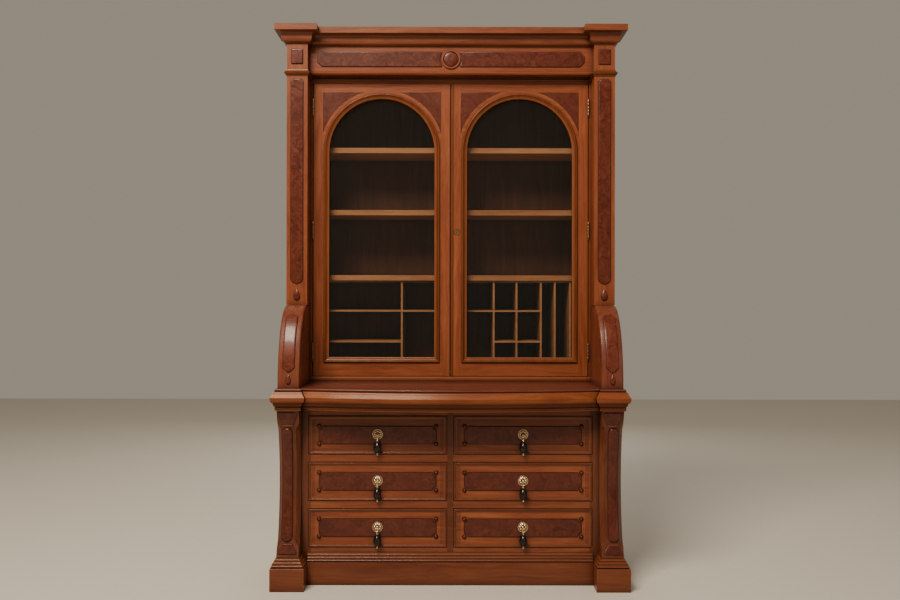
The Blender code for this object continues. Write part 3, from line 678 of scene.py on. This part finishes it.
def make_base_posts():
    low, high = BASE_POST_Z
    for name, side in SIDES.items():
        bm = bmesh.new()
        rings = []
        for i in range(81):
            z = low + (high - low) * i / 80
            cut = ease((z - 0.163) / 0.044) * ease((0.703 - z) / 0.044)
            deep, y = 0.0012 + 0.0145 * cut, base_post_y(z) + 0.0016 * cut
            ring = post_edge(BASE_POST_X[0], 1, 0.0012 + 0.0175 * cut, deep, y)
            ring += reversed(post_edge(BASE_POST_X[1], -1, 0.0012 + 0.0135 * cut, deep, y))
            rings.append([(x, v, z) for x, v in mirrored(ring, side)])
        skin(bm, rings)
        finished(f"hollow_post_{name}", bm, DARK_Z, stands_for=(f"base_post_{name}",), smooth=22)

        bm = bmesh.new()
        draped(bm, side * PADDLE_X, base_post_track(spread(*PADDLE_Z, 56), paddle_half), bevelled(0.007, 0.009))
        finished(f"post_paddle_{name}", bm, POST_BURL)

        bm = bmesh.new()
        for top, corner, foot in ((0.7405, 0.7215, 0.6865), (0.148, 0.156, 0.1835)):
            heights = sorted({top, corner, foot, *[corner + (foot - corner) * i / 8 for i in range(1, 8)]})
            track = base_post_track(heights, lambda z, c=corner, f=foot: keystone_half(z, c, f))
            draped(bm, side * KEYSTONE_X, track, bevelled(0.0042, 0.0045))
        finished(f"post_keystones_{name}", bm, POST_BURL, bevel=0.0012)

        bm = bmesh.new()
        for foot in (0.685, 0.185):
            track = base_post_track((foot - 0.0022, foot - 0.0008, foot + 0.0008, foot + 0.0022), lambda z: 0.0212)
            draped(bm, side * KEYSTONE_X, track, bevelled(0.0062, 0.0014))
        finished(f"keystone_bars_{name}", bm, DARK_X, bevel=0.0006)


def reeds(depth):
    """Three reeds that step in by depth above a plinth of 0.098: (z, outwards)."""
    profile = [(0.0, -0.001), (0.001, 0.0), (0.094, 0.0), (0.0965, -0.0014), (0.0972, -0.009), (0.1028, -0.009)]
    for i in range(3):
        z, start = 0.1032 + 0.0114 * i, 0.003 + 0.0068 * i
        profile += swept((z, -start), (z + 0.0094, -start - 0.0048, -0.26, 6))
        profile += [(z + 0.0096, -start - 0.0095), (z + 0.011, -start - 0.0095)]
    profile.append((0.1376, -0.0245))
    return [(z, out if z < 0.095 else out * depth / 0.0245) for z, out in profile]


def make_plinth():
    block = rectangle((0.608, 0.75), (front(0.64), BASE_BACK))
    for name, side in SIDES.items():
        bm = bmesh.new()
        profile = [*reeds(0.0245), (0.1395, -0.0245)]
        lofted(bm, mirrored(block, side), mirrored_edges((1, 1, 0, 1), side), profile)
        finished(f"reeded_block_{name}", bm, DARK_X, stands_for=(f"plinth_block_{name}",), smooth=24)
    bm = bmesh.new()
    board = rectangle((-0.6077, 0.6077), (front(0.548), BASE_BACK))
    lofted(bm, board, (1, 0, 0, 0), reeds(0.0172))
    finished("reeded_plinth", bm, PLINTH_X, stands_for=("plinth_board",), smooth=24)


# -------- drawers and pulls
BOTTOM_DRAWER_Z = 0.24
DRAWER_PITCH = 0.198
DRAWER_HALF = 0.29535
DRAWER_FACE_HALF = 0.082
DRAWER_PANEL = (0.2495, 0.0375)
BUTTON_CUT = 0.0155
PANEL_RISE = 0.0046

EDGE_PROFILE = swept(
    (-0.0012, 0.0), (-0.0012, 0.0056), (-0.0046, 0.0082, 0.26, 5), (-0.008, 0.006, 0.2, 4),
    (-0.0087, 0.0022), (-0.012, 0.0012, 0.1, 3), (-0.0136, 0.0006), (-0.0136, 0.0),
)

BUTTON_PROFILE = [
    (0, -0.0005), (0.01, -0.0005), (0.01, 0.0016), (0.009, 0.0026), (0.008, 0.002),
    (0.0074, 0.0012), (0.0072, 0.0036), (0.0062, 0.0062), (0.0044, 0.008), (0.0022, 0.009), (0, 0.0093),
]

NECK_PROFILE = [
    (0, -0.004), (0.0024, -0.005), (0.0019, -0.0075), (0.0019, -0.011), (0.0034, -0.013),
    (0.004, -0.0148), (0.003, -0.0166), (0.003, -0.0178), (0.0058, -0.0192), (0.0064, -0.0206),
    (0.0056, -0.0218), (0.0044, -0.0228), (0.0052, -0.025), (0, -0.025),
]

BODY_PROFILE = [
    (0, -0.0244), (0.006, -0.0247), (0.0084, -0.0264), (0.009, -0.029), (0.0082, -0.0314),
    (0.01, -0.0342), (0.0138, -0.0402), (0.0162, -0.0468), (0.0168, -0.053), (0.0163, -0.0588),
    (0.0142, -0.0644), (0.0108, -0.0692), (0.0072, -0.0728), (0.0046, -0.074), (0, -0.0742),
]

FINIAL_PROFILE = [
    (0, -0.0736), (0.0044, -0.074), (0.0048, -0.0752), (0.0034, -0.0768), (0.0034, -0.0778),
    (0.0046, -0.08), (0.0046, -0.0822), (0.0034, -0.0844), (0.0016, -0.086), (0, -0.0866),
]

PIN_PROFILE = [(0, -0.0066), (0.003, -0.0064), (0.0034, -0.0052), (0.0018, -0.005)]
PIN_PROFILE += [(radius, -along) for radius, along in reversed(PIN_PROFILE)]

ROSETTE_BOSS = 0.0062
ROSETTE_RIM = [
    (0.0178, 0.0008), (0.0186, 0.0026), (0.02, 0.0036), (0.0216, 0.0033), (0.0228, 0.002), (0.0234, 0.0004),
]


def button_panel(cx, cz):
    """A field whose four corners are hollowed round turned buttons."""
    half_x, half_z = DRAWER_PANEL
    outline = []
    for sx, sz, start in ((1, -1, 180), (1, 1, 270), (-1, 1, 0), (-1, -1, 90)):
        outline += arc((cx + sx * half_x, cz + sz * half_z), BUTTON_CUT, start, start - 90, 8)
    return outline


def rosette(bm, cx, y, cz):
    """A stamped round plate: a boss, a ring of eight petals and a rim, with sunk rings between them."""
    levels = []
    for radius in (0.0012, 0.003, 0.0046, 0.0058):
        levels.append((radius, 0.0072 * math.sqrt(1 - (radius / ROSETTE_BOSS) ** 2), 0.0))
    levels.append((0.0064, 0.0006, 0.0))
    for i in range(7):
        radius = 0.0072 + 0.0092 * i / 6
        swell = math.sin(math.pi * (i + 0.5) / 7)
        levels.append((radius, 0.001 + 0.0012 * swell, 0.003 * swell))
    levels += [(radius, rise, 0.0) for radius, rise in ROSETTE_RIM]
    rings = []
    for radius, rise, petal in levels:
        ring = []
        for angle in around(64):
            up = rise + petal * abs(math.cos(4 * angle)) ** 0.6
            ring.append((cx + radius * math.sin(angle), y - up, cz + radius * math.cos(angle)))
        rings.append(ring)
    rings.append([(x, y + 0.0002, z) for x, _, z in rings[-1]])
    skin(bm, rings)


def make_drawer_trim(place, side, row):
    cx = side * DRAWER_X
    cz = BOTTOM_DRAWER_Z + DRAWER_PITCH * row
    body = f"drawer_{place}"
    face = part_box(body)[0][1]
    bm = bmesh.new()
    outline = rectangle((cx - DRAWER_HALF, cx + DRAWER_HALF), (cz - DRAWER_FACE_HALF, cz + DRAWER_FACE_HALF))
    framing(bm, outline, EDGE_PROFILE, face)
    finished(f"drawer_edge_{place}", bm, DARK_X, body, smooth=26)

    bm = bmesh.new()
    panel = button_panel(cx, cz)
    raised(bm, panel, face, PANEL_RISE, 0.0024)
    finished(f"drawer_panel_{place}", bm, DARK_BURL, body, smooth=30)

    painted_shadow_line(f"drawer_shadow_line_{place}", [panel], face, body)

    bm = bmesh.new()
    for sx in (-1, 1):
        for sz in (-1, 1):
            spot = (cx + sx * DRAWER_PANEL[0], face, cz + sz * DRAWER_PANEL[1])
            turned(bm, BUTTON_PROFILE, spot, (0, -1, 0), 20)
    finished(f"drawer_buttons_{place}", bm, BUTTON, body)

    pivot = (cx, face - 0.022, cz + 0.001)
    top = face - PANEL_RISE
    bm = bmesh.new()
    rosette(bm, cx, top, cz + 0.004)
    for left, right in ((-0.0052, -0.0027), (0.0027, 0.0052)):
        slab(bm, (cx + left, pivot[1] - 0.003, pivot[2] - 0.0034), (cx + right, top - 0.001, pivot[2] + 0.004))
    turned(bm, PIN_PROFILE, pivot, (1, 0, 0), 20)
    finished(f"pull_rosette_{place}", bm, BRASS, body, stands_for=(f"pull_plate_{place}",), bevel=0.0005)

    swing = f"pull_{place}"
    bm = bmesh.new()
    eye = [(0.0023, -0.0018), (0.0046, -0.0016), (0.005, 0.0), (0.0046, 0.0016), (0.0023, 0.0018), (0.0022, 0.0)]
    rings = []
    for angle in around(24):
        rings.append([(pivot[0] + a, pivot[1] + r * math.sin(angle), pivot[2] + r * math.cos(angle)) for r, a in eye])
    skin(bm, rings, loop=True)
    turned(bm, NECK_PROFILE, pivot, (0, 0, 1), 20)
    turned(bm, FINIAL_PROFILE, pivot, (0, 0, 1), 20)
    finished(f"drop_fittings_{place}", bm, BRASS, swing)
    bm = bmesh.new()
    turned(bm, BODY_PROFILE, pivot, (0, 0, 1), 28)
    finished(f"drop_body_{place}", bm, EBONY, swing, stands_for=(f"pull_drop_{place}",))


# -------- waist
CAP_X = (0.6225, 0.7355)
CAP_D = 0.6245
BOW_MID_D = 0.6745
BOW_RISE = 0.073

WAIST_PROFILE = swept(
    (0.75, -0.003), (0.7507, -0.0014), (0.7616, -0.0012, -0.12, 5), (0.7624, -0.0046),
    *bend((0.7642, -0.0046), (0.7828, 0.005), 0.12, 6), (0.7836, 0.0094), (0.7994, 0.015, 0.1, 5),
    (0.8012, 0.0157), (0.8036, 0.0156), (0.8056, 0.0146), (0.8264, 0.0034, -0.035, 6), (0.8285, 0.0012),
)


def bow_d(x):
    radius = (CAP_X[0] ** 2 + BOW_RISE**2) / (2 * BOW_RISE)
    return BOW_MID_D - (radius - math.sqrt(radius**2 - x**2))


def bowed_line(half, out, steps=48):
    xs = [-half + 2 * half * i / steps for i in range(steps + 1)]
    return [(x, front(bow_d(x) + out)) for x in xs]


def make_waist():
    low, high = CAP_X
    face = 0.7153
    outline = [(low, front(CAP_D)), (high, front(CAP_D)), (high, front(0)), (face, front(0))]
    outline += [(face, BASE_BACK), (low, BASE_BACK)]
    for name, side in SIDES.items():
        bm = bmesh.new()
        lofted(bm, mirrored(outline, side), mirrored_edges((1, 1, 0, 0, 0, 1), side), WAIST_PROFILE)
        finished(f"waist_moulding_{name}", bm, WAIST, stands_for=(f"waist_cap_{name}",), smooth=28)
    bm = bmesh.new()
    rings = []
    for z, out in WAIST_PROFILE:
        half = low - 0.002 - out
        line = [*bowed_line(half, out), *reversed(bowed_line(half, -0.03))]
        rings.append([(x, y, z) for x, y in line])
    skin(bm, rings)
    finished("slide_moulding", bm, WAIST, "writing_slide", stands_for=("writing_slide_front",), smooth=28)

    bm = bmesh.new()
    corner = [(low, front(CAP_D)), (high, front(CAP_D)), (high, front(0))]
    top = [*bowed_line(low, 0), *corner, *mirrored(corner, -1)]
    lip = [(0.829, -0.0034), (0.8332, -0.0034), (0.8336, -0.0008), (0.8346, 0.0), (0.8358, 0.0)]
    lip = swept(*lip, (0.8402, -0.0046, -0.2, 5), (0.8408, -0.008), (0.841, -0.0125))
    skin(bm, [[(x, y, z) for x, y in grown(top, out)] for z, out in lip])
    finished("desk_top_board", bm, TOP_X, stands_for=("desk_top",), smooth=28)


def make_gilt_line():
    """A tooled line round the leather."""
    bm = bmesh.new()
    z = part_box("writing_leather")[1][2]
    y = [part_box("writing_leather")[i][1] for i in (0, 1)]
    for inset, half in ((0.018, 0.0009), (0.024, 0.0004)):
        outer = rectangle((-0.5 + inset, 0.5 - inset), (y[0] + inset, y[1] - inset))
        rings = []
        for a, b in zip(outer, grown(outer, -2 * half)):
            rings.append([(*a, z - 0.0002), (*a, z + 0.00015), (*b, z + 0.00015), (*b, z - 0.0002)])
        skin(bm, rings, loop=True)
    finished("leather_tooling", bm, GILT, "writing_slide")


# -------- bookcase
UPPER_POST_X = 0.681
UPPER_POST_HALF = 0.046
UPPER_POST_FACE = front(0.39)
BRACKET_HEIGHTS = (0.8413, 1.1897)
BRACKET_REACH = 0.207
PEAR_Z = (1.209, 1.262)
UPPER_BACK = front(0.2953)  # what stands on the bookcase frame's face reaches back to here


def bracket_point(angle):
    """The bracket's face at an angle from its foot: (y, z, normal y, normal z)."""
    low, high = BRACKET_HEIGHTS
    rise = high - low
    y = UPPER_POST_FACE - BRACKET_REACH * math.cos(angle)
    z = low + rise * math.sin(angle)
    ny, nz = -math.cos(angle) / BRACKET_REACH, math.sin(angle) / rise
    length = math.hypot(ny, nz)
    return y, z, ny / length, nz / length


def bracket_track(start, end, steps, half_width):
    """Points up the bracket's face between two angles, with the half width at each part of the way."""
    track = []
    for i in range(steps + 1):
        t = (1 - math.cos(math.pi * i / steps)) / 2
        track.append((*bracket_point(start + (end - start) * t), half_width(t)))
    return track


def strap_half(t):
    """Half width of the bracket's strap: a pointed foot with shoulders, parallel sides, a round head."""
    full = 0.0262
    if t < 0.06:
        return max(0.0004, full * 0.8 * (t / 0.06) ** 0.85)
    if t < 0.068:
        return full * (0.8 + 0.2 * (t - 0.06) / 0.008)
    if t > 0.93:
        return max(0.0004, full * math.sqrt(max(0.0, 1 - ((t - 0.93) / 0.07) ** 2)))
    return full


def make_brackets():
    for name, side in SIDES.items():
        middle = side * UPPER_POST_X
        x0, x1 = middle - UPPER_POST_HALF, middle + UPPER_POST_HALF
        bm = bmesh.new()
        rings = []
        for i in range(49):
            y, z, ny, nz = bracket_point(math.pi / 2 * i / 48)
            cut = 0.0065
            nose = [(x0, cut), (x0 + 0.0012, cut * 0.55), (x0 + 0.0033, cut * 0.2), (x0 + cut, 0.0)]
            nose += [(x0 + x1 - x, deep) for x, deep in reversed(nose)]
            face = [(x, y - ny * deep, max(BRACKET_HEIGHTS[0], z - nz * deep)) for x, deep in nose]
            rings.append([(x0, UPPER_BACK, z), *face, (x1, UPPER_BACK, z)])
        skin(bm, rings)
        finished(f"bracket_{name}", bm, BRACKET_Z, stands_for=(f"scroll_bracket_{name}",))

        bm = bmesh.new()
        draped(bm, middle, bracket_track(0.185, 1.07, 64, strap_half), bevelled(0.0062, 0.006))
        finished(f"bracket_strap_{name}", bm, BRACKET_BURL, smooth=40)

        bm = bmesh.new()
        track = bracket_track(0.038, 0.172, 22, lambda t: teardrop(t, 0.0118, 0.75, 0.8))
        draped(bm, middle, track, domed(0.0075, 0.0118))
        finished(f"bracket_drop_{name}", bm, BRACKET_BURL, smooth=60)


def teardrop(t, wide, skew, blunt):
    """Half width of a teardrop at the part t of its length."""
    return max(0.0003, wide * math.sin(math.pi * t**skew) ** blunt)


def pear_half(z):
    low, high = PEAR_Z
    return teardrop(min(1.0, max(0.0, (z - low) / (high - low))), 0.016, 0.72, 0.85)


def post_strip_outline(middle):
    """The long burl strip: notched square head and an ogee foot."""
    half, low, high, notch = 0.0268, 1.284, 2.19, 0.0085
    right = swept((middle + 0.002, low), (middle + 0.0075, low + 0.0035), (middle + half, low + 0.03, -0.22, 7))
    right += arc((middle + half, high), notch, 270, 180, 5)
    left = [(2 * middle - x, z) for x, z in reversed(right)]
    return right + left


def make_upper_posts():
    for name, side in SIDES.items():
        middle = side * UPPER_POST_X
        bm = bmesh.new()
        strip = post_strip_outline(middle)
        raised(bm, strip, UPPER_POST_FACE, 0.005, 0.0022)
        block = rectangle((middle - 0.025, middle + 0.025), (2.258, 2.322))
        raised(bm, block, UPPER_POST_FACE, 0.0056, 0.003)
        finished(f"post_veneers_{name}", bm, BURL, smooth=30)
        painted_shadow_line(f"post_shadow_lines_{name}", [strip, block], UPPER_POST_FACE)

        bm = bmesh.new()
        track = [(UPPER_POST_FACE, z, -1.0, 0.0, pear_half(z)) for z in spread(*PEAR_Z, 22)]
        draped(bm, middle, track, domed(0.0085, 0.016))
        finished(f"post_drop_{name}", bm, BURL, smooth=60)

        bm = bmesh.new()
        plan = rectangle((middle - UPPER_POST_HALF, middle + UPPER_POST_HALF), (UPPER_POST_FACE, UPPER_BACK))
        foot = ((2.205, -0.001), (2.205, 0.0025), (2.2085, 0.003), (2.219, 0.0108, 0.1, 5))
        head = ((2.2205, 0.0108), (2.234, 0.002, -0.16, 6), (2.2345, -0.001))
        lofted(bm, plan, (1, 1, 0, 1), swept(*foot, *head))
        finished(f"post_neck_{name}", bm, NECK, smooth=28)


def make_frieze():
    face = front(0.34)
    low, high = 2.2585, 2.3245
    middle = (low + high) / 2
    hollow, clip, end = 0.049, 0.02, 0.598
    reach = math.sqrt(hollow**2 - ((high - low) / 2) ** 2)
    angle = math.degrees(math.atan2((high - low) / 2, reach))
    outline = [(end - clip, low), (end, low + clip), (end, high - clip), (end - clip, high), (reach + 0.007, high)]
    outline += [*arc((0.0, middle), hollow, angle - 8, 8 - angle, 12), (reach + 0.007, low)]
    for name, side in SIDES.items():
        bm = bmesh.new()
        raised(bm, mirrored(outline, side), face, 0.0042, 0.0018)
        finished(f"frieze_panel_{name}", bm, DARK_BURL, smooth=30)
        painted_shadow_line(f"frieze_shadow_line_{name}", [mirrored(outline, side)], face)
    bm = bmesh.new()
    ring = [(0.0345, 0.0), (0.0345, 0.0056), (0.036, 0.0066), (0.0405, 0.0066), (0.0425, 0.0048), (0.0425, 0.0)]
    turned_ring(bm, ring, (0.0, face, middle), 64)
    finished("frieze_roundel_ring", bm, WALNUT_X, smooth=30)
    bm = bmesh.new()
    disc = [(0, -0.0005), (0.0325, -0.0005), (0.0325, 0.0036), (0.0308, 0.005), (0.0302, 0.0052), (0.015, 0.0056)]
    turned(bm, [*disc, (0, 0.0057)], (0.0, face, middle), (0, -1, 0), 64)
    finished("frieze_roundel", bm, BURL, smooth=40)


def turned_ring(bm, section, middle, steps):
    """A ring about the y axis from a closed section of (radius, forwards)."""
    rings = []
    for angle in around(steps):
        ux, uz = math.cos(angle), math.sin(angle)
        rings.append([(middle[0] + r * ux, middle[1] - f, middle[2] + r * uz) for r, f in section])
    skin(bm, rings, loop=True)


def make_cornice():
    post_in, post_out, side_x = 0.635, 0.727, 0.715
    right = [(post_in, front(0.34)), (post_in, front(0.39)), (post_out, front(0.39))]
    right += [(post_out, front(0.3)), (side_x, front(0.3)), (side_x, front(0))]
    outline = [*right, *mirrored(right, -1)]
    moving = [1] * 5 + [0] + [1] * 6
    cyma = ((2.349, 0.004), (2.3745, 0.0205, 0.2, 8), (2.395, 0.0405, -0.22, 8))
    top = ((2.395, 0.045), (2.397, 0.048), (2.4225, 0.048), (2.424, 0.0465))
    bm = bmesh.new()
    lofted(bm, outline, moving, swept((2.342, 0.0004), (2.3472, 0.0006), (2.3476, 0.0036), *cyma, *top))
    finished("crown_moulding", bm, CROWN, stands_for=("cornice",), smooth=28)


# -------- doors
GLASS_X = (0.0735, 0.5505)
GLASS_BOTTOM = 0.953
SPRING = 1.8868
DOOR_FACE = front(0.295)

ARCH_PROFILE = swept(
    (0.0002, -0.0118), (0.0002, 0.0004), (0.003, 0.002), (0.0136, 0.007, -0.06, 4), (0.0143, 0.0054),
    (0.0236, 0.005, 0.3, 8), (0.024, 0.0006), (0.0272, 0.0006), (0.0276, 0.0),
)

GLAZING_BEAD = [(0.0008, -0.0166), (0.0008, -0.02), (0.006, -0.0246), (0.008, -0.0246), (0.008, -0.0166)]


def glass_outline(side):
    """The arched opening of one door, anticlockwise from the lower left."""
    left, right = GLASS_X
    middle, radius = (left + right) / 2, (right - left) / 2
    top = arc((middle, SPRING), radius, 0, 180, 48)
    return mirrored([(left, GLASS_BOTTOM), (right, GLASS_BOTTOM), *top], side)


def spandrels(side):
    """The two corner fields above the arch."""
    left, right, top, radius = 0.0443, 0.5797, 2.1547, 0.2803
    middle = sum(GLASS_X) / 2
    side_angle = math.degrees(math.acos((right - middle) / radius))
    top_angle = math.degrees(math.asin((top - SPRING) / radius))
    curve = arc((middle, SPRING), radius, side_angle, top_angle, 20)
    field = [(right, top), *reversed(curve)]
    other = [(left + right - x, z) for x, z in reversed(field)]
    return [mirrored(field, side), mirrored(other, side)]


def make_doors():
    for name, side in SIDES.items():
        body = f"door_{name}"
        outline = glass_outline(side)
        bm = bmesh.new()
        framing(bm, outline, ARCH_PROFILE, DOOR_FACE)
        finished(f"arch_moulding_{name}", bm, DARK_ARCH, body, smooth=26)

        bm = bmesh.new()
        for field in spandrels(side):
            raised(bm, field, DOOR_FACE, -0.0007, 0.0008, sunk=0.0036)
        finished(f"spandrels_{name}", bm, SPANDREL_BURL, body, smooth=30)

        bm = bmesh.new()
        framing(bm, outline, GLAZING_BEAD, DOOR_FACE)
        finished(f"glazing_bead_{name}", bm, WALNUT_Z, body, smooth=30)


def make_astragal():
    """The bead down the right door's meeting edge, and a dark line down the left door's: a painted shadow of the gap
    between them.
    """
    low, high = (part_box("door_frame_right")[i][2] for i in (0, 1))
    section = swept((0.002, 0.0), (0.002, 0.0022), (0.0118, 0.0022, 0.24, 8), (0.013, 0.0))
    ends = (low + 0.002, high - 0.002)
    bm = bmesh.new()
    skin(bm, [[(x, DOOR_FACE + 0.0004 - up, z) for x, up in section] for z in ends])
    finished("meeting_bead", bm, DARK_ARCH, "door_right", smooth=40)
    bm = bmesh.new()
    # painted shadow of the gap between the doors
    gap_shadow = [(-0.0046, -0.0004), (-0.0046, 0.0005), (-0.0014, 0.0005), (-0.0014, -0.0004)]
    skin(bm, [[(x, DOOR_FACE - up, z) for x, up in gap_shadow] for z in ends])
    finished("meeting_shadow_line", bm, SHADOW_LINES, "door_left")


def make_beads():
    """The beads along the foot of the bookcase and under its frieze, between the posts."""
    bm = bmesh.new()
    for low, high, bulge in ((0.8452, 0.864, -0.09), (2.208, 2.2145, -0.4)):
        section = swept((-0.001, low), (0.001, low), (0.001, high, bulge, 7), (-0.001, high))
        skin(bm, [[(x, DOOR_FACE - out, z) for out, z in section] for x in (-0.6348, 0.6348)])
    finished("bookcase_beads", bm, DARK_X, smooth=40)


def make_hinges():
    y = front(0.299)
    for side_name, side in SIDES.items():
        for place in ("top", "middle", "bottom"):
            node = f"hinge_{side_name}_{place}"
            low, high = (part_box(node)[i][2] for i in (0, 1))
            x = side * 0.623
            bm = bmesh.new()
            length = (high - low) / 5
            for knuckle in range(5):
                start = low + knuckle * length
                ring = [(0, start), (0.0036, start), (0.004, start + 0.0006)]
                end = start + length
                ring += [(0.004, end - 0.0008), (0.0036, end - 0.0002), (0, end - 0.0002)]
                turned(bm, ring, (x, y, 0), (0, 0, 1), 20)
            for end, way in ((low, -1), (high, 1)):
                ball = [(0, 0.0), (0.0024, 0.0001), (0.0022, 0.0008), (0.003, 0.002), (0.0026, 0.0036), (0, 0.0046)]
                turned(bm, [(r, end + way * up) for r, up in ball], (x, y, 0), (0, 0, 1), 16)
            edge = sorted((x + side * 0.001, x + side * 0.0025))
            slab(bm, (edge[0], y + 0.003, low), (edge[1], y + 0.0265, high))
            finished(f"butt_{side_name}_{place}", bm, BRONZE, stands_for=(node,))


def make_lock():
    low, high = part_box("lock_escutcheon")
    x, z, y = (low[0] + high[0]) / 2, (low[2] + high[2]) / 2, high[1]
    bm = bmesh.new()
    profile = [(0, -0.0002), (0.0125, -0.0002), (0.0125, 0.001), (0.0112, 0.0026), (0.0095, 0.0024), (0.0085, 0.0014)]
    profile += [(0.0062, 0.0014), (0.0055, 0.0022), (0.003, 0.0024), (0, 0.0024)]
    turned(bm, profile, (x, y, z), (0, -1, 0), 40)
    finished("keyhole_plate", bm, BRONZE, "door_right", stands_for=("lock_escutcheon",))
    bm = bmesh.new()
    hole = arc((x, z + 0.0018), 0.0019, -60, 240, 14) + [(x - 0.0017, z - 0.0048), (x + 0.0017, z - 0.0048)]
    skin(bm, [[(px, y - up, pz) for px, pz in hole] for up in (0.002, 0.00265)])
    finished("keyhole", bm, EBONY, "door_right")


# -------- studio
def area_light(name, place, target, size, power, colour):
    data = bpy.data.lights.new(name, "AREA")
    data.shape = "RECTANGLE"
    data.size, data.size_y = size
    data.energy = power
    data.color = colour
    obj = placed(name, data)
    obj.location = place
    obj.rotation_euler = (Vector(target) - Vector(place)).to_track_quat("-Z", "Y").to_euler()


def make_studio():
    bm = bmesh.new()
    slab(bm, (-7, -7, -0.05), (7, 7, 0))
    floor, _ = meshed("floor", bm, pale_floor("pale_floor"))

    world = bpy.data.worlds.new("studio")
    world.use_nodes = True
    sky = world.node_tree.nodes["Background"].inputs
    sky["Color"].default_value = (0.9, 0.79, 0.62, 1)
    sky["Strength"].default_value = 0.34
    bpy.context.scene.world = world

    area_light("key", (-1.6, -3.4, 5.1), (0, 0, 1.25), (2.3, 1.9), 440, (1.0, 0.88, 0.71))
    area_light("fill", (3.6, -4.4, 2.2), (0, 0, 1.1), (2.5, 2.5), 16, (1.0, 0.92, 0.8))
    area_light("back", (0.2, 4.2, 2.5), (0, 0, 1.2), (1.9, 1.9), 56, (1.0, 0.95, 0.88))

    camera = bpy.data.cameras.new("camera")
    camera.sensor_width = 36.0
    camera.lens = 35.644
    obj = placed("camera", camera)
    obj.location = (-0.0072, -3.99, 1.2075)
    obj.rotation_euler = (math.pi / 2 + 0.0014, -0.0018, -0.0012)
    bpy.context.scene.camera = obj


dress_case()
make_base_posts()
make_plinth()
for row, row_name in enumerate(ROWS):
    for side_name, side in SIDES.items():
        make_drawer_trim(f"{side_name}_{row_name}", side, row)
make_waist()
make_gilt_line()
make_brackets()
make_upper_posts()
make_frieze()
make_cornice()
make_doors()
make_astragal()
make_beads()
make_hinges()
make_lock()
make_studio()
